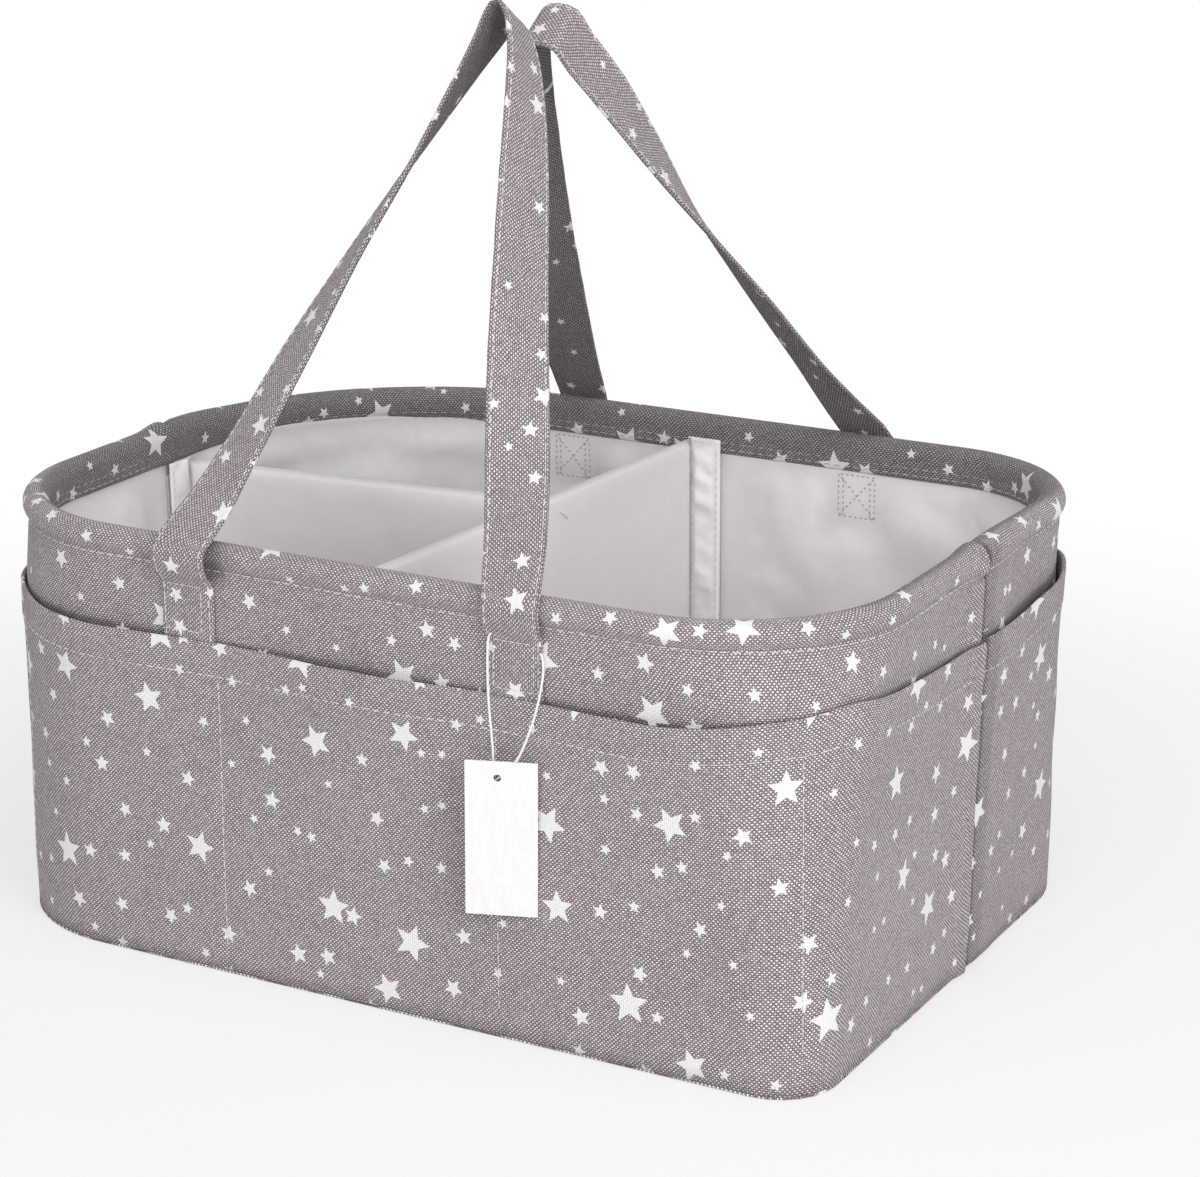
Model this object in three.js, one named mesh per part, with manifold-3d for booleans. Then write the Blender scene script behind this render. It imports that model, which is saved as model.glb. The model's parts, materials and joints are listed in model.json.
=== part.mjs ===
// A soft diaper caddy: an open canvas tub with a rolled rim, pockets sewn round its outside, two long
// strap handles, and two padded dividers held inside by hook and loop tape.
// Millimetres. +X runs along the length, +Y to the back, +Z up. The origin is on the table, under the
// middle of the box round the caddy.
import * as THREE from 'three';
import { mergeVertices } from 'three/addons/utils/BufferGeometryUtils.js';
import Module from 'manifold-3d';

const wasm = await Module();
wasm.setup();

// Overall size, measured over the rolled rim.
const rimLength = 426;
const rimWidth = 310;
const rimHeight = 190.5;

// The walls. The base sits a little to the right and to the front of the rim.
const baseLength = 411.4;
const slumpX = 6.8;
const slumpY = -8.8;
const rimCornerRadius = { frontRight: 83, backRight: 72, backLeft: 148, frontLeft: 85 };
const pocketCornerRadius = { frontRight: 50, backRight: 70, backLeft: 100, frontLeft: 77 };
const baseCornerRadius = { frontRight: 38, backRight: 58, backLeft: 60, frontLeft: 67 };
const seamPlace = 0;

// The cloth, the padding and the gaps between layers.
const canvasThickness = 1.2;
const linerThickness = 1;
const wallBoardThickness = 5;
const baseBoardThickness = 3;
const gap = 0.3;

// The rolled rim.
const rollRadius = 6;
const rollProud = 2.5;
const hemDepth = 17;

// The outside pockets.
const pocketHeight = 147.5;
const pocketCornerRise = 7;
const pocketCornerReach = 90;
const pocketGape = 5;
const sidePocketGape = 6;
const pocketGapeDepth = 70;
const gapePower = 1.5;
const gapeSpread = 1.8;
const frontPocketStitches = [-70, 66];
const backPocketStitches = [66, -48];

// The strap handles.
const strapWidth = 26.4;
const strapThickness = 2.2;
const strapBoxHeight = 17;
const strapPuff = 1.7;
const strapPuffRise = 5;
const strapPlaces = { frontLeft: -84, frontRight: 75, backLeft: -62, backRight: 91 };
const frontApex = { x: -6.8, y: -14.7, height: 397.5 };
const backApex = { x: -3, y: 13.7, height: 390 };
const frontApexLength = 6;
const backApexLength = 14;

// A leg of a handle at rising shares of the handle's height: its share of the distance between its sewn end
// and the apex, and how far it has twisted, in degrees. At the apex each leg has turned on its edge.
const legHeightShares = [0, 0.18, 0.36, 0.54, 0.7, 0.84, 0.94];
const legSpreadShares = {
  frontLeft: [1, 0.83, 0.68, 0.515, 0.345, 0.2, 0.1],
  frontRight: [1, 0.85, 0.68, 0.52, 0.385, 0.26, 0.15],
  backLeft: [1, 0.92, 0.81, 0.68, 0.53, 0.36, 0.2],
  backRight: [1, 0.81, 0.64, 0.465, 0.34, 0.23, 0.13],
};
const legTwists = {
  frontLeft: [0, 20, 28, 43, 52, 65, 76],
  frontRight: [0, 18, 38, 53, 62, 74, 85],
  backLeft: [0, 15, 25, 35, 50, 70, 85],
  backRight: [0, 24, 31, 45, 68, 84, 88],
};

// The dividers.
const dividerThickness = 4.2;
const dividerCloth = 0.8;
const dividerSeam = 3;
const crossDividerPlace = -4;
const crossDividerYaw = THREE.MathUtils.degToRad(-4);
const crossDividerTop = 180.5;
const sideDividerWallPlace = 10;
const sideDividerCrossPlace = 30;
const sideDividerTop = 174;
const flapWidth = 17;
const sideFlapWidth = 13;
const flapThickness = 1;

// The hook and loop tape.
const loopThickness = 1.2;
const hookThickness = 1;
const tapeWidth = 15;
const tapeFoot = 12;
const tapeTop = 168;
const tapeMargin = (flapWidth - tapeWidth) / 2;

// The hang tag and its string. The string goes through the tag's hole and round the back of the front right
// strap, just above its box stitch.
const tagWidth = 30;
const tagHeight = 66.8;
const tagThickness = 0.6;
const tagTop = 124;
const tagPlace = 76;
const tagYaw = THREE.MathUtils.degToRad(20);
const tagClearance = 1.2;
const tagHoleRadius = 1.6;
const tagHoleDrop = 7.1;
const tagHoleShift = -1.6;
const stringRadius = 0.5;
const stringRoute = [
  [70.4, -165.2, 114.4],
  [69.4, -165.2, 121.5],
  [65.4, -163.8, 136],
  [62.2, -160.8, 150],
  [61.2, -157.8, 162],
  [61.2, -155.2, 168.8],
  [64, -154.5, 169.7],
  [75, -154.5, 169.7],
  [87.4, -154.5, 169.7],
  [90.4, -155.2, 168.8],
  [90.8, -157.8, 160],
  [88.6, -161, 149],
  [83.6, -163.2, 138.5],
  [75.8, -163.6, 121.5],
  [71.9, -164.6, 114.4],
];

// One overrun serves every cut.
const overrun = 1;

// How finely the round places are divided.
const cornerSteps = 8;
const sideStationShares = [0.2, 0.6];
const seamStationShare = 0.36;
const stationReachShare = 0.95;
const boardCornerSteps = 3;
const gapeLevels = 5;
const bendSteps = 4;
const rollSteps = 8;
const coreSides = 8;
const legSteps = 26;
const holeSides = 16;
const stringSides = 8;
const stringSteps = 72;

// Sizes that follow from the ones above.
const halfRimLength = rimLength / 2;
const halfRimWidth = rimWidth / 2;
const hemHeight = rimHeight - hemDepth;
const pocketTop = pocketHeight + pocketCornerRise;
const halfNeckLength = halfRimLength - rollProud;
const halfWallWidth = halfRimWidth - rollProud;
const rollInset = rollRadius - rollProud;
const rollHeight = rimHeight - rollRadius;
const rollStart = rollHeight - Math.sqrt(rollRadius ** 2 - rollInset ** 2);
const footHeight = canvasThickness + gap;
const boardInset = canvasThickness + gap;
const linerInset = boardInset + wallBoardThickness + gap;
const linerFloor = footHeight + baseBoardThickness + gap;
const linerFace = linerInset + linerThickness;
const floorFace = linerFloor + linerThickness;
const loopInset = linerFace + gap;
const hookInset = rollInset + rollRadius + gap;
const flapInset = hookInset + hookThickness + gap;
const dividerInset = flapInset + flapThickness + gap;
const dividerFoot = floorFace + gap;
const pocketInset = -gap - canvasThickness;
const cornerStart = { frontRight: -90, backRight: 0, backLeft: 90, frontLeft: 180 };
const cornerSide = { frontRight: [1, -1], backRight: [1, 1], backLeft: [-1, 1], frontLeft: [-1, -1] };

const { lerp, degToRad } = THREE.MathUtils;

const finishes = {
  canvas: { color: 0xa49c9e, roughness: 0.9 },
  liner: { color: 0xd2cdd0, roughness: 0.6 },
  board: { color: 0xf2f0ea, roughness: 0.95 },
  tape: { color: 0xdcd8da, roughness: 0.95 },
  card: { color: 0xf8f8f8, roughness: 0.7 },
  thread: { color: 0xf6f6f6, roughness: 0.8 },
};

const caddy = new THREE.Group();

// Adds one named piece to the caddy.
function addPiece(name, geometry, finish) {
  const material = new THREE.MeshStandardMaterial({ ...finishes[finish], metalness: 0 });
  const mesh = new THREE.Mesh(geometry, material);
  mesh.name = name;
  caddy.add(mesh);
  return mesh;
}

// The volume inside a mesh's triangles, six times over, and below zero where they face inwards.
function signedVolume(positions, index) {
  let total = 0;
  const corners = [new THREE.Vector3(), new THREE.Vector3(), new THREE.Vector3()];
  for (let i = 0; i < index.length; i += 3) {
    corners.forEach((corner, k) => corner.fromArray(positions, 3 * index[i + k]));
    total += corners[0].dot(corners[1].cross(corners[2]));
  }
  return total;
}

// A closed mesh from its points and triangles, turned so that its faces point out.
function closedGeometry(positions, index) {
  const facing = signedVolume(positions, index) < 0 ? [...index].reverse() : index;
  const geometry = new THREE.BufferGeometry();
  geometry.setAttribute('position', new THREE.Float32BufferAttribute(positions, 3));
  geometry.setIndex(facing);
  geometry.computeVertexNormals();
  return geometry;
}

// A manifold solid from a closed geometry, and a geometry from a manifold solid.
function toSolid(geometry) {
  const bare = geometry.clone();
  bare.deleteAttribute('normal');
  bare.deleteAttribute('uv');
  const merged = mergeVertices(bare);
  return new wasm.Manifold(new wasm.Mesh({
    numProp: 3,
    vertProperties: new Float32Array(merged.attributes.position.array),
    triVerts: new Uint32Array(merged.index.array),
  }));
}

function fromSolid(solid) {
  const mesh = solid.getMesh();
  const geometry = new THREE.BufferGeometry();
  geometry.setAttribute('position', new THREE.BufferAttribute(new Float32Array(mesh.vertProperties), 3));
  geometry.setIndex(new THREE.BufferAttribute(new Uint32Array(mesh.triVerts), 1));
  geometry.computeVertexNormals();
  return geometry;
}

// The slump carries each level of the body sideways: none at the rim, all of it at the table.
function slumpAt(height) {
  const share = 1 - height / rimHeight;
  return new THREE.Vector2(slumpX * share, slumpY * share);
}

function slumped(geometry) {
  const shear = new THREE.Matrix4().set(
    1, 0, -slumpX / rimHeight, slumpX,
    0, 1, -slumpY / rimHeight, slumpY,
    0, 0, 1, 0,
    0, 0, 0, 1,
  );
  return geometry.applyMatrix4(shear);
}

function halfLengthAt(height) {
  return lerp(baseLength / 2, halfNeckLength, Math.min(height / rollStart, 1));
}

// The walls' corners are tight at the base and wide at the rim.
function cornerRadiusAt(name, height) {
  if (height < pocketTop) {
    return lerp(baseCornerRadius[name], pocketCornerRadius[name], height / pocketTop);
  }
  const share = Math.min((height - pocketTop) / (rollStart - pocketTop), 1);
  return lerp(pocketCornerRadius[name], rimCornerRadius[name] - rollProud, share);
}

// A station is a place on the walls' outline, seen from above: on a side, or part of the way round a corner.
const onSide = (side, at) => ({ side, at });
const onCorner = (corner, turn) => ({ corner, turn });

function cornerStations(corner, from = 0, to = 1, steps = cornerSteps) {
  return Array.from({ length: steps + 1 }, (_, i) => onCorner(corner, lerp(from, to, i / steps)));
}

// A place on a long side moves in with the walls at a height where their straight part is shorter
// than the rim's.
function alongSide(station, height) {
  const corner = station.side + (station.at < 0 ? 'Left' : 'Right');
  const straight = halfLengthAt(height) - cornerRadiusAt(corner, height);
  const reach = Math.abs(cornerEdge(corner)) * stationReachShare;
  return station.at * Math.min(straight / reach, 1);
}

// The point of the walls at a station: so far in from their outer face, and so high.
function wallPoint(station, inset, height) {
  const halfLength = halfLengthAt(height);
  const point = new THREE.Vector3(0, 0, height);
  if (station.corner) {
    const radius = cornerRadiusAt(station.corner, height);
    const [sideX, sideY] = cornerSide[station.corner];
    const angle = degToRad(cornerStart[station.corner] + 90 * station.turn);
    point.x = sideX * (halfLength - radius) + (radius - inset) * Math.cos(angle);
    point.y = sideY * (halfWallWidth - radius) + (radius - inset) * Math.sin(angle);
  } else if (station.side === 'front' || station.side === 'back') {
    point.x = alongSide(station, height);
    point.y = (station.side === 'back' ? 1 : -1) * (halfWallWidth - inset);
  } else {
    point.x = (station.side === 'right' ? 1 : -1) * (halfLength - inset);
    point.y = station.at;
  }
  const slump = slumpAt(height);
  point.x += slump.x;
  point.y += slump.y;
  return point;
}

// A closed solid from rings of points, each as many as the last: a tube with flat ends, or a closed ring.
function loft(rings, capShape, isRing = false) {
  const count = rings[0].length;
  const positions = rings.flat().flatMap((point) => point.toArray());
  const index = [];
  const bands = isRing ? rings.length : rings.length - 1;
  for (let i = 0; i < bands; i += 1) {
    const next = (i + 1) % rings.length;
    for (let j = 0; j < count; j += 1) {
      const after = (j + 1) % count;
      const [a, b, c, d] = [i * count + j, i * count + after, next * count + after, next * count + j];
      index.push(a, b, c, a, c, d);
    }
  }
  if (!isRing) {
    const last = (rings.length - 1) * count;
    for (const [a, b, c] of THREE.ShapeUtils.triangulateShape(capShape, [])) {
      const [d, e, f] = THREE.ShapeUtils.isClockWise(capShape) ? [c, b, a] : [a, b, c];
      index.push(f, e, d, last + d, last + e, last + f);
    }
  }
  return closedGeometry(positions, index);
}

// Sweeps a section, a list of [inset, height], along the walls.
function sweepWall(stations, sectionAt, isRing = false) {
  const rings = stations.map((station, i) => (
    sectionAt(station, i).map(([inset, height]) => wallPoint(station, inset, height))
  ));
  const capShape = sectionAt(stations[0], 0).map(([inset, height]) => new THREE.Vector2(inset, height));
  return loft(rings, capShape, isRing);
}

// A sheet that lies along the walls between two insets and two heights.
function wallSheet(stations, inset, thickness, low, high) {
  const middle = Math.min(Math.max(pocketTop, low + gap), high - gap);
  const section = [
    [inset, low],
    [inset, middle],
    [inset, high],
    [inset + thickness, high],
    [inset + thickness, middle],
    [inset + thickness, low],
  ];
  return sweepWall(stations, () => section);
}

// A flat plate with the outline of the walls.
function floorPlate(stations, inset, low, high) {
  const lower = stations.map((station) => wallPoint(station, inset, low));
  const upper = stations.map((station) => wallPoint(station, inset, low).setZ(high));
  const outline = lower.map((point) => new THREE.Vector2(point.x, point.y));
  return loft([lower, upper], outline);
}

// The walls' outline, as a front half and a back half that meet at the two side seams.
const seamReach = halfRimWidth * seamStationShare;
const cornerEdge = (corner) => (
  cornerSide[corner][0] * (halfNeckLength - (rimCornerRadius[corner] - rollProud))
);
const besideCorner = (side, corner, stitch) => sideStationShares.map((share) => (
  onSide(side, lerp(cornerEdge(corner), stitch, share))
));
const frontStitchStations = frontPocketStitches.map((at) => onSide('front', at));
const backStitchStations = backPocketStitches.map((at) => onSide('back', at));
const frontMiddle = (frontPocketStitches[0] + frontPocketStitches[1]) / 2;
const backMiddle = (backPocketStitches[0] + backPocketStitches[1]) / 2;
const frontHalf = [
  onSide('left', seamPlace),
  onSide('left', seamPlace - seamReach),
  ...cornerStations('frontLeft'),
  ...besideCorner('front', 'frontLeft', frontPocketStitches[0]),
  frontStitchStations[0],
  onSide('front', (frontPocketStitches[0] + frontMiddle) / 2),
  onSide('front', frontMiddle),
  onSide('front', (frontPocketStitches[1] + frontMiddle) / 2),
  frontStitchStations[1],
  ...besideCorner('front', 'frontRight', frontPocketStitches[1]).reverse(),
  ...cornerStations('frontRight'),
  onSide('right', seamPlace - seamReach),
  onSide('right', seamPlace),
];
const backHalf = [
  onSide('right', seamPlace),
  onSide('right', seamPlace + seamReach),
  ...cornerStations('backRight'),
  ...besideCorner('back', 'backRight', backPocketStitches[0]),
  backStitchStations[0],
  onSide('back', (backPocketStitches[0] + backMiddle) / 2),
  onSide('back', backMiddle),
  onSide('back', (backPocketStitches[1] + backMiddle) / 2),
  backStitchStations[1],
  ...cornerStations('backLeft'),
  onSide('left', seamPlace),
];

// The front and back halves stop short of each other by a gap at the side seams.
function betweenSeams(stations) {
  const side = stations === frontHalf ? -1 : 1;
  const moved = (station) => onSide(station.side, station.at + side * gap / 2);
  return [moved(stations[0]), ...stations.slice(1, -1), moved(stations[stations.length - 1])];
}

const wholeLoop = [...frontHalf.slice(0, -1), ...backHalf.slice(0, -1)];

// The shell's section goes up the wall, over the roll and down inside to the hem.
function shellSection() {
  const inner = rollRadius - canvasThickness;
  const outerStart = Math.PI + Math.acos(rollInset / rollRadius);
  const innerStart = Math.PI + Math.acos((rollInset - canvasThickness) / inner);
  const arc = (radius, start) => Array.from({ length: rollSteps + 1 }, (_, i) => {
    const angle = start * (1 - i / rollSteps);
    return [rollInset + radius * Math.cos(angle), rollHeight + radius * Math.sin(angle)];
  });
  const hemFace = rollInset + rollRadius;
  return [
    [0, footHeight],
    [0, pocketTop],
    ...arc(rollRadius, outerStart),
    [hemFace, rollStart],
    [hemFace, hemHeight],
    [hemFace - canvasThickness, hemHeight],
    [hemFace - canvasThickness, rollStart],
    ...arc(inner, innerStart).reverse(),
    [canvasThickness, pocketTop],
    [canvasThickness, footHeight],
  ];
}

// How far along the outline each station is, measured at the pockets' height.
function stationDistances(stations) {
  const points = stations.map((station) => wallPoint(station, 0, pocketHeight));
  const distances = [0];
  for (let i = 1; i < stations.length; i += 1) {
    distances.push(distances[i - 1] + points[i].distanceTo(points[i - 1]));
  }
  return distances;
}

// The pocket panel is sewn down at the seams, at the two stitch lines and round the corners, and stands off
// the shell between them.
function pocketPanel(stations) {
  const distances = stationDistances(stations);
  const isSewn = stations.map((station, i) => (
    i === 0 || i === stations.length - 1 || station.turn === 0.5
    || frontStitchStations.includes(station) || backStitchStations.includes(station)
  ));
  const corners = stations.flatMap((station, i) => (station.turn === 0.5 ? [distances[i]] : []));
  const slackAt = (i) => {
    const before = isSewn.lastIndexOf(true, i);
    const after = isSewn.indexOf(true, i);
    if (before === after) return 0;
    const share = (distances[i] - distances[before]) / (distances[after] - distances[before]);
    const middle = stations[before].side ?? stations[after].side;
    const isOnSide = middle === 'left' || middle === 'right';
    return (isOnSide ? sidePocketGape : pocketGape) * Math.sin(Math.PI * share) ** gapeSpread;
  };
  const topAt = (i) => {
    const nearest = Math.min(...corners.map((corner) => Math.abs(corner - distances[i])));
    return pocketHeight + pocketCornerRise * Math.max(0, 1 - nearest / pocketCornerReach) ** 2;
  };
  return sweepWall(stations, (station, i) => {
    const top = topAt(i);
    const inside = [[-gap, footHeight]];
    for (let level = 0; level <= gapeLevels; level += 1) {
      const share = level / gapeLevels;
      const stand = slackAt(i) * share ** gapePower;
      inside.push([-gap - stand, top - pocketGapeDepth * (1 - share)]);
    }
    const outside = inside.map(([inset, height]) => [inset - canvasThickness, height]);
    return [...inside, ...outside.reverse()];
  });
}

addPiece('shell_front', sweepWall(betweenSeams(frontHalf), shellSection), 'canvas');
addPiece('shell_back', sweepWall(betweenSeams(backHalf), shellSection), 'canvas');
addPiece('pocket_panel_front', pocketPanel(betweenSeams(frontHalf)), 'canvas');
addPiece('pocket_panel_back', pocketPanel(betweenSeams(backHalf)), 'canvas');

// The rim's round core.
const coreRadius = rollRadius - canvasThickness - gap;
const coreSection = Array.from({ length: coreSides }, (_, i) => {
  const angle = 2 * Math.PI * i / coreSides;
  return [rollInset + coreRadius * Math.cos(angle), rollHeight + coreRadius * Math.sin(angle)];
});
addPiece('rim_core', sweepWall(wholeLoop, () => coreSection, true), 'board');

// One padding board in each wall. They stop short of the corner stitches.
const boardTurnShare = 0.36;
const boardTop = rollHeight - coreRadius - 2 * gap;
const wallBoards = {
  front: [
    ...cornerStations('frontLeft', 1 - boardTurnShare, 1, boardCornerSteps),
    ...frontStitchStations,
    ...cornerStations('frontRight', 0, boardTurnShare, boardCornerSteps),
  ],
  right: [
    ...cornerStations('frontRight', 1 - boardTurnShare, 1, boardCornerSteps),
    ...cornerStations('backRight', 0, boardTurnShare, boardCornerSteps),
  ],
  back: [
    ...cornerStations('backRight', 1 - boardTurnShare, 1, boardCornerSteps),
    ...backStitchStations,
    ...cornerStations('backLeft', 0, boardTurnShare, boardCornerSteps),
  ],
  left: [
    ...cornerStations('backLeft', 1 - boardTurnShare, 1, boardCornerSteps),
    ...cornerStations('frontLeft', 0, boardTurnShare, boardCornerSteps),
  ],
};
for (const [side, stations] of Object.entries(wallBoards)) {
  const board = wallSheet(stations, boardInset, wallBoardThickness, footHeight, boardTop);
  addPiece(`wall_board_${side}`, board, 'board');
}

// The bottom: a canvas panel outside and a stiff board on it.
addPiece('base_panel', floorPlate(wholeLoop, pocketInset, 0, canvasThickness), 'canvas');
const baseBoardTop = footHeight + baseBoardThickness;
addPiece('base_board', floorPlate(wholeLoop, linerInset, footHeight, baseBoardTop), 'board');

// The liner: a front and a back half, and a floor inside them.
const linerHalf = (stations) => (
  wallSheet(betweenSeams(stations), linerInset, linerThickness, linerFloor, boardTop)
);
addPiece('liner_front', linerHalf(frontHalf), 'liner');
addPiece('liner_back', linerHalf(backHalf), 'liner');
addPiece('liner_floor', floorPlate(wholeLoop, linerFace + gap, linerFloor, floorFace), 'liner');

// The sewn end of a strap lies on the wall, puffs out over its box stitch and bends round the roll.
const lean = (apex, side) => Math.atan2(Math.abs(apex.y - side * halfRimWidth), apex.height - rollHeight);
const strapRound = rollRadius + gap + strapThickness / 2;

function strapEnd(side, place, apex) {
  const bend = lean(apex, side === 'front' ? -1 : 1);
  const onWall = -gap - strapThickness / 2;
  const boxTop = pocketHeight + gap + strapBoxHeight;
  const line = [
    [onWall, pocketHeight + gap],
    [onWall, boxTop],
    [onWall - strapPuff, boxTop + strapPuffRise],
  ];
  for (let i = 0; i <= bendSteps; i += 1) {
    const angle = bend * i / bendSteps;
    line.push([rollInset - strapRound * Math.cos(angle), rollHeight + strapRound * Math.sin(angle)]);
  }
  const facing = line.map((point, i) => {
    const before = new THREE.Vector2(...line[Math.max(i - 1, 0)]);
    const after = new THREE.Vector2(...line[Math.min(i + 1, line.length - 1)]);
    const isLast = i === line.length - 1;
    const along = isLast ? new THREE.Vector2(Math.sin(bend), Math.cos(bend)) : after.sub(before);
    return new THREE.Vector2(-along.y, along.x).setLength(strapThickness / 2);
  });
  const outer = line.map(([inset, height], i) => [inset + facing[i].x, height + facing[i].y]);
  const inner = line.map(([inset, height], i) => [inset - facing[i].x, height - facing[i].y]);
  const section = [...outer, ...inner.reverse()];
  const stations = [onSide(side, place - strapWidth / 2), onSide(side, place + strapWidth / 2)];
  return sweepWall(stations, () => section);
}

addPiece('strap_end_front_left', strapEnd('front', strapPlaces.frontLeft, frontApex), 'canvas');
addPiece('strap_end_front_right', strapEnd('front', strapPlaces.frontRight, frontApex), 'canvas');
addPiece('strap_end_back_left', strapEnd('back', strapPlaces.backLeft, backApex), 'canvas');
addPiece('strap_end_back_right', strapEnd('back', strapPlaces.backRight, backApex), 'canvas');

// A leg's twist, in radians, at a share of the handle's height.
function twistAt(twists, share) {
  const heights = [...legHeightShares, 1];
  const degrees = [...twists, 90];
  const next = Math.max(1, heights.findIndex((height) => height >= Math.min(share, 1)));
  const way = (share - heights[next - 1]) / (heights[next] - heights[next - 1]);
  return degToRad(lerp(degrees[next - 1], degrees[next], way));
}

// A handle is one flat strap that rises from both sewn ends and twists on its way up.
function handle(side, apex, apexLength) {
  const outward = side === 'front' ? -1 : 1;
  const bend = lean(apex, outward);
  const startInset = rollInset - strapRound * Math.cos(bend);
  const startHeight = rollHeight + strapRound * Math.sin(bend);
  const slump = slumpAt(startHeight);
  const start = new THREE.Vector3(0, outward * (halfWallWidth - startInset) + slump.y, startHeight);
  const top = new THREE.Vector3(0, apex.y, apex.height);
  const rise = top.clone().sub(start).normalize();
  start.addScaledVector(rise, gap);
  const reach = top.distanceTo(start);
  const across = new THREE.Vector3(1, 0, 0);
  const outside = new THREE.Vector3().crossVectors(across, rise).multiplyScalar(-outward);
  const legPoints = (leg) => legHeightShares.map((share, i) => (
    new THREE.Vector2(lerp(apex.x, strapPlaces[leg] + slump.x, legSpreadShares[leg][i]), share * reach)
  ));
  const route = new THREE.SplineCurve([
    ...legPoints(`${side}Left`),
    new THREE.Vector2(apex.x - apexLength / 2, reach),
    new THREE.Vector2(apex.x + apexLength / 2, reach),
    ...legPoints(`${side}Right`).reverse(),
  ]);
  const corners = [[1, 1], [-1, 1], [-1, -1], [1, -1]].map(([w, t]) => (
    new THREE.Vector2(w * strapWidth / 2, t * strapThickness / 2)
  ));
  const steps = 2 * legSteps;
  const rings = [];
  for (let i = 0; i <= steps; i += 1) {
    const place = route.getPointAt(i / steps);
    const ahead = route.getTangentAt(i / steps);
    if (i === 0 || i === steps) ahead.set(0, i === 0 ? 1 : -1);
    const leg = place.x < apex.x ? `${side}Left` : `${side}Right`;
    const twist = twistAt(legTwists[leg], place.y / reach);
    const along = across.clone().multiplyScalar(ahead.x).addScaledVector(rise, ahead.y).normalize();
    const inward = across.clone().multiplyScalar(ahead.y).addScaledVector(rise, -ahead.x).normalize();
    const wide = inward.multiplyScalar(Math.cos(twist)).addScaledVector(outside, Math.sin(twist));
    const thick = new THREE.Vector3().crossVectors(along, wide).normalize();
    const centre = start.clone().addScaledVector(across, place.x).addScaledVector(rise, place.y);
    rings.push(corners.map(({ x, y }) => (
      centre.clone().addScaledVector(wide, x).addScaledVector(thick, y)
    )));
  }
  return loft(rings, corners);
}

addPiece('handle_strap_front', handle('front', frontApex, frontApexLength), 'canvas');
addPiece('handle_strap_back', handle('back', backApex, backApexLength), 'canvas');

// A divider panel: a cloth sleeve, open below, over a stiff board. Its profile is a list of [along, height].
function dividerPanel(name, profile, place) {
  const plate = (points, thickness) => {
    const shape = new THREE.Shape(points.map(([along, height]) => new THREE.Vector2(along, height)));
    const geometry = new THREE.ExtrudeGeometry(shape, { depth: thickness, bevelEnabled: false });
    return geometry.translate(0, 0, -thickness / 2).rotateX(Math.PI / 2);
  };
  const inside = (margin, drop) => {
    const [[a, low], [b], [c, high], [d]] = profile;
    return [
      [a + margin, low - drop],
      [b - margin, low - drop],
      [c - margin, high - margin],
      [d + margin, high - margin],
    ];
  };
  const hollow = plate(inside(dividerSeam, overrun), dividerThickness - 2 * dividerCloth);
  const sleeve = fromSolid(toSolid(plate(profile, dividerThickness)).subtract(toSolid(hollow)));
  const board = plate(inside(dividerSeam + gap, 0), dividerThickness - 2 * dividerCloth - 2 * gap);
  addPiece(`${name}_cover`, slumped(sleeve.applyMatrix4(place)), 'liner');
  addPiece(`${name}_board`, slumped(board.applyMatrix4(place)), 'board');
}

// The cross divider runs from front to back.
const crossEndLoss = dividerThickness * Math.abs(Math.sin(crossDividerYaw));
const crossHalf = (halfWallWidth - dividerInset) / Math.cos(crossDividerYaw) - crossEndLoss;
const crossPlace = new THREE.Matrix4()
  .makeTranslation(crossDividerPlace, 0, 0)
  .multiply(new THREE.Matrix4().makeRotationZ(Math.PI / 2 + crossDividerYaw));
const crossProfile = [
  [-crossHalf, dividerFoot],
  [crossHalf, dividerFoot],
  [crossHalf, crossDividerTop],
  [-crossHalf, crossDividerTop],
];
dividerPanel('cross_divider', crossProfile, crossPlace);

// Each end of the cross divider has a flap on the wall, with hook tape behind it and loop tape on the liner.
const crossEndShift = (halfWallWidth - dividerInset) * Math.tan(-crossDividerYaw);
for (const [side, shift] of [['front', -crossEndShift], ['back', crossEndShift]]) {
  const edge = crossDividerPlace + shift - dividerThickness / 2;
  const across = (low, high) => [onSide(side, edge + low), onSide(side, edge + high)].sort((a, b) => (
    side === 'front' ? a.at - b.at : b.at - a.at
  ));
  const tapeStations = across(tapeMargin, tapeMargin + tapeWidth);
  const flap = wallSheet(across(0, flapWidth), flapInset, flapThickness, dividerFoot, crossDividerTop);
  const hooks = wallSheet(tapeStations, hookInset, hookThickness, tapeFoot, tapeTop);
  const loops = wallSheet(tapeStations, loopInset, loopThickness, tapeFoot, tapeTop);
  addPiece(`cross_divider_flap_${side}`, flap, 'liner');
  addPiece(`cross_divider_hooks_${side}`, hooks, 'tape');
  addPiece(`loop_tape_${side}`, loops, 'tape');
}

// The side divider runs from the left wall to the cross divider, where its own flap is held the same way.
const crossFace = -dividerThickness / 2;
const crossLoopFace = crossFace - gap - loopThickness;
const crossHookFace = crossLoopFace - gap - hookThickness;
const crossFlapFace = crossHookFace - gap - flapThickness;
const sideStart = new THREE.Vector2(-baseLength / 2 + dividerInset, sideDividerWallPlace);
const crossMiddleX = crossDividerPlace + sideDividerCrossPlace * Math.tan(-crossDividerYaw);
const sideEndX = crossMiddleX + crossFlapFace - 3 * gap;
const sideEnd = new THREE.Vector2(sideEndX, sideDividerCrossPlace);
const sideLength = sideEnd.distanceTo(sideStart);
const sideYaw = sideEnd.clone().sub(sideStart).angle();
const wallLean = (halfNeckLength - baseLength / 2) / rollStart;
const sidePlace = new THREE.Matrix4()
  .makeTranslation(sideStart.x, sideStart.y, 0)
  .multiply(new THREE.Matrix4().makeRotationZ(sideYaw));
const sideProfile = [
  [-wallLean * dividerFoot, dividerFoot],
  [sideLength, dividerFoot],
  [sideLength, sideDividerTop],
  [-wallLean * sideDividerTop, sideDividerTop],
];
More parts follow.
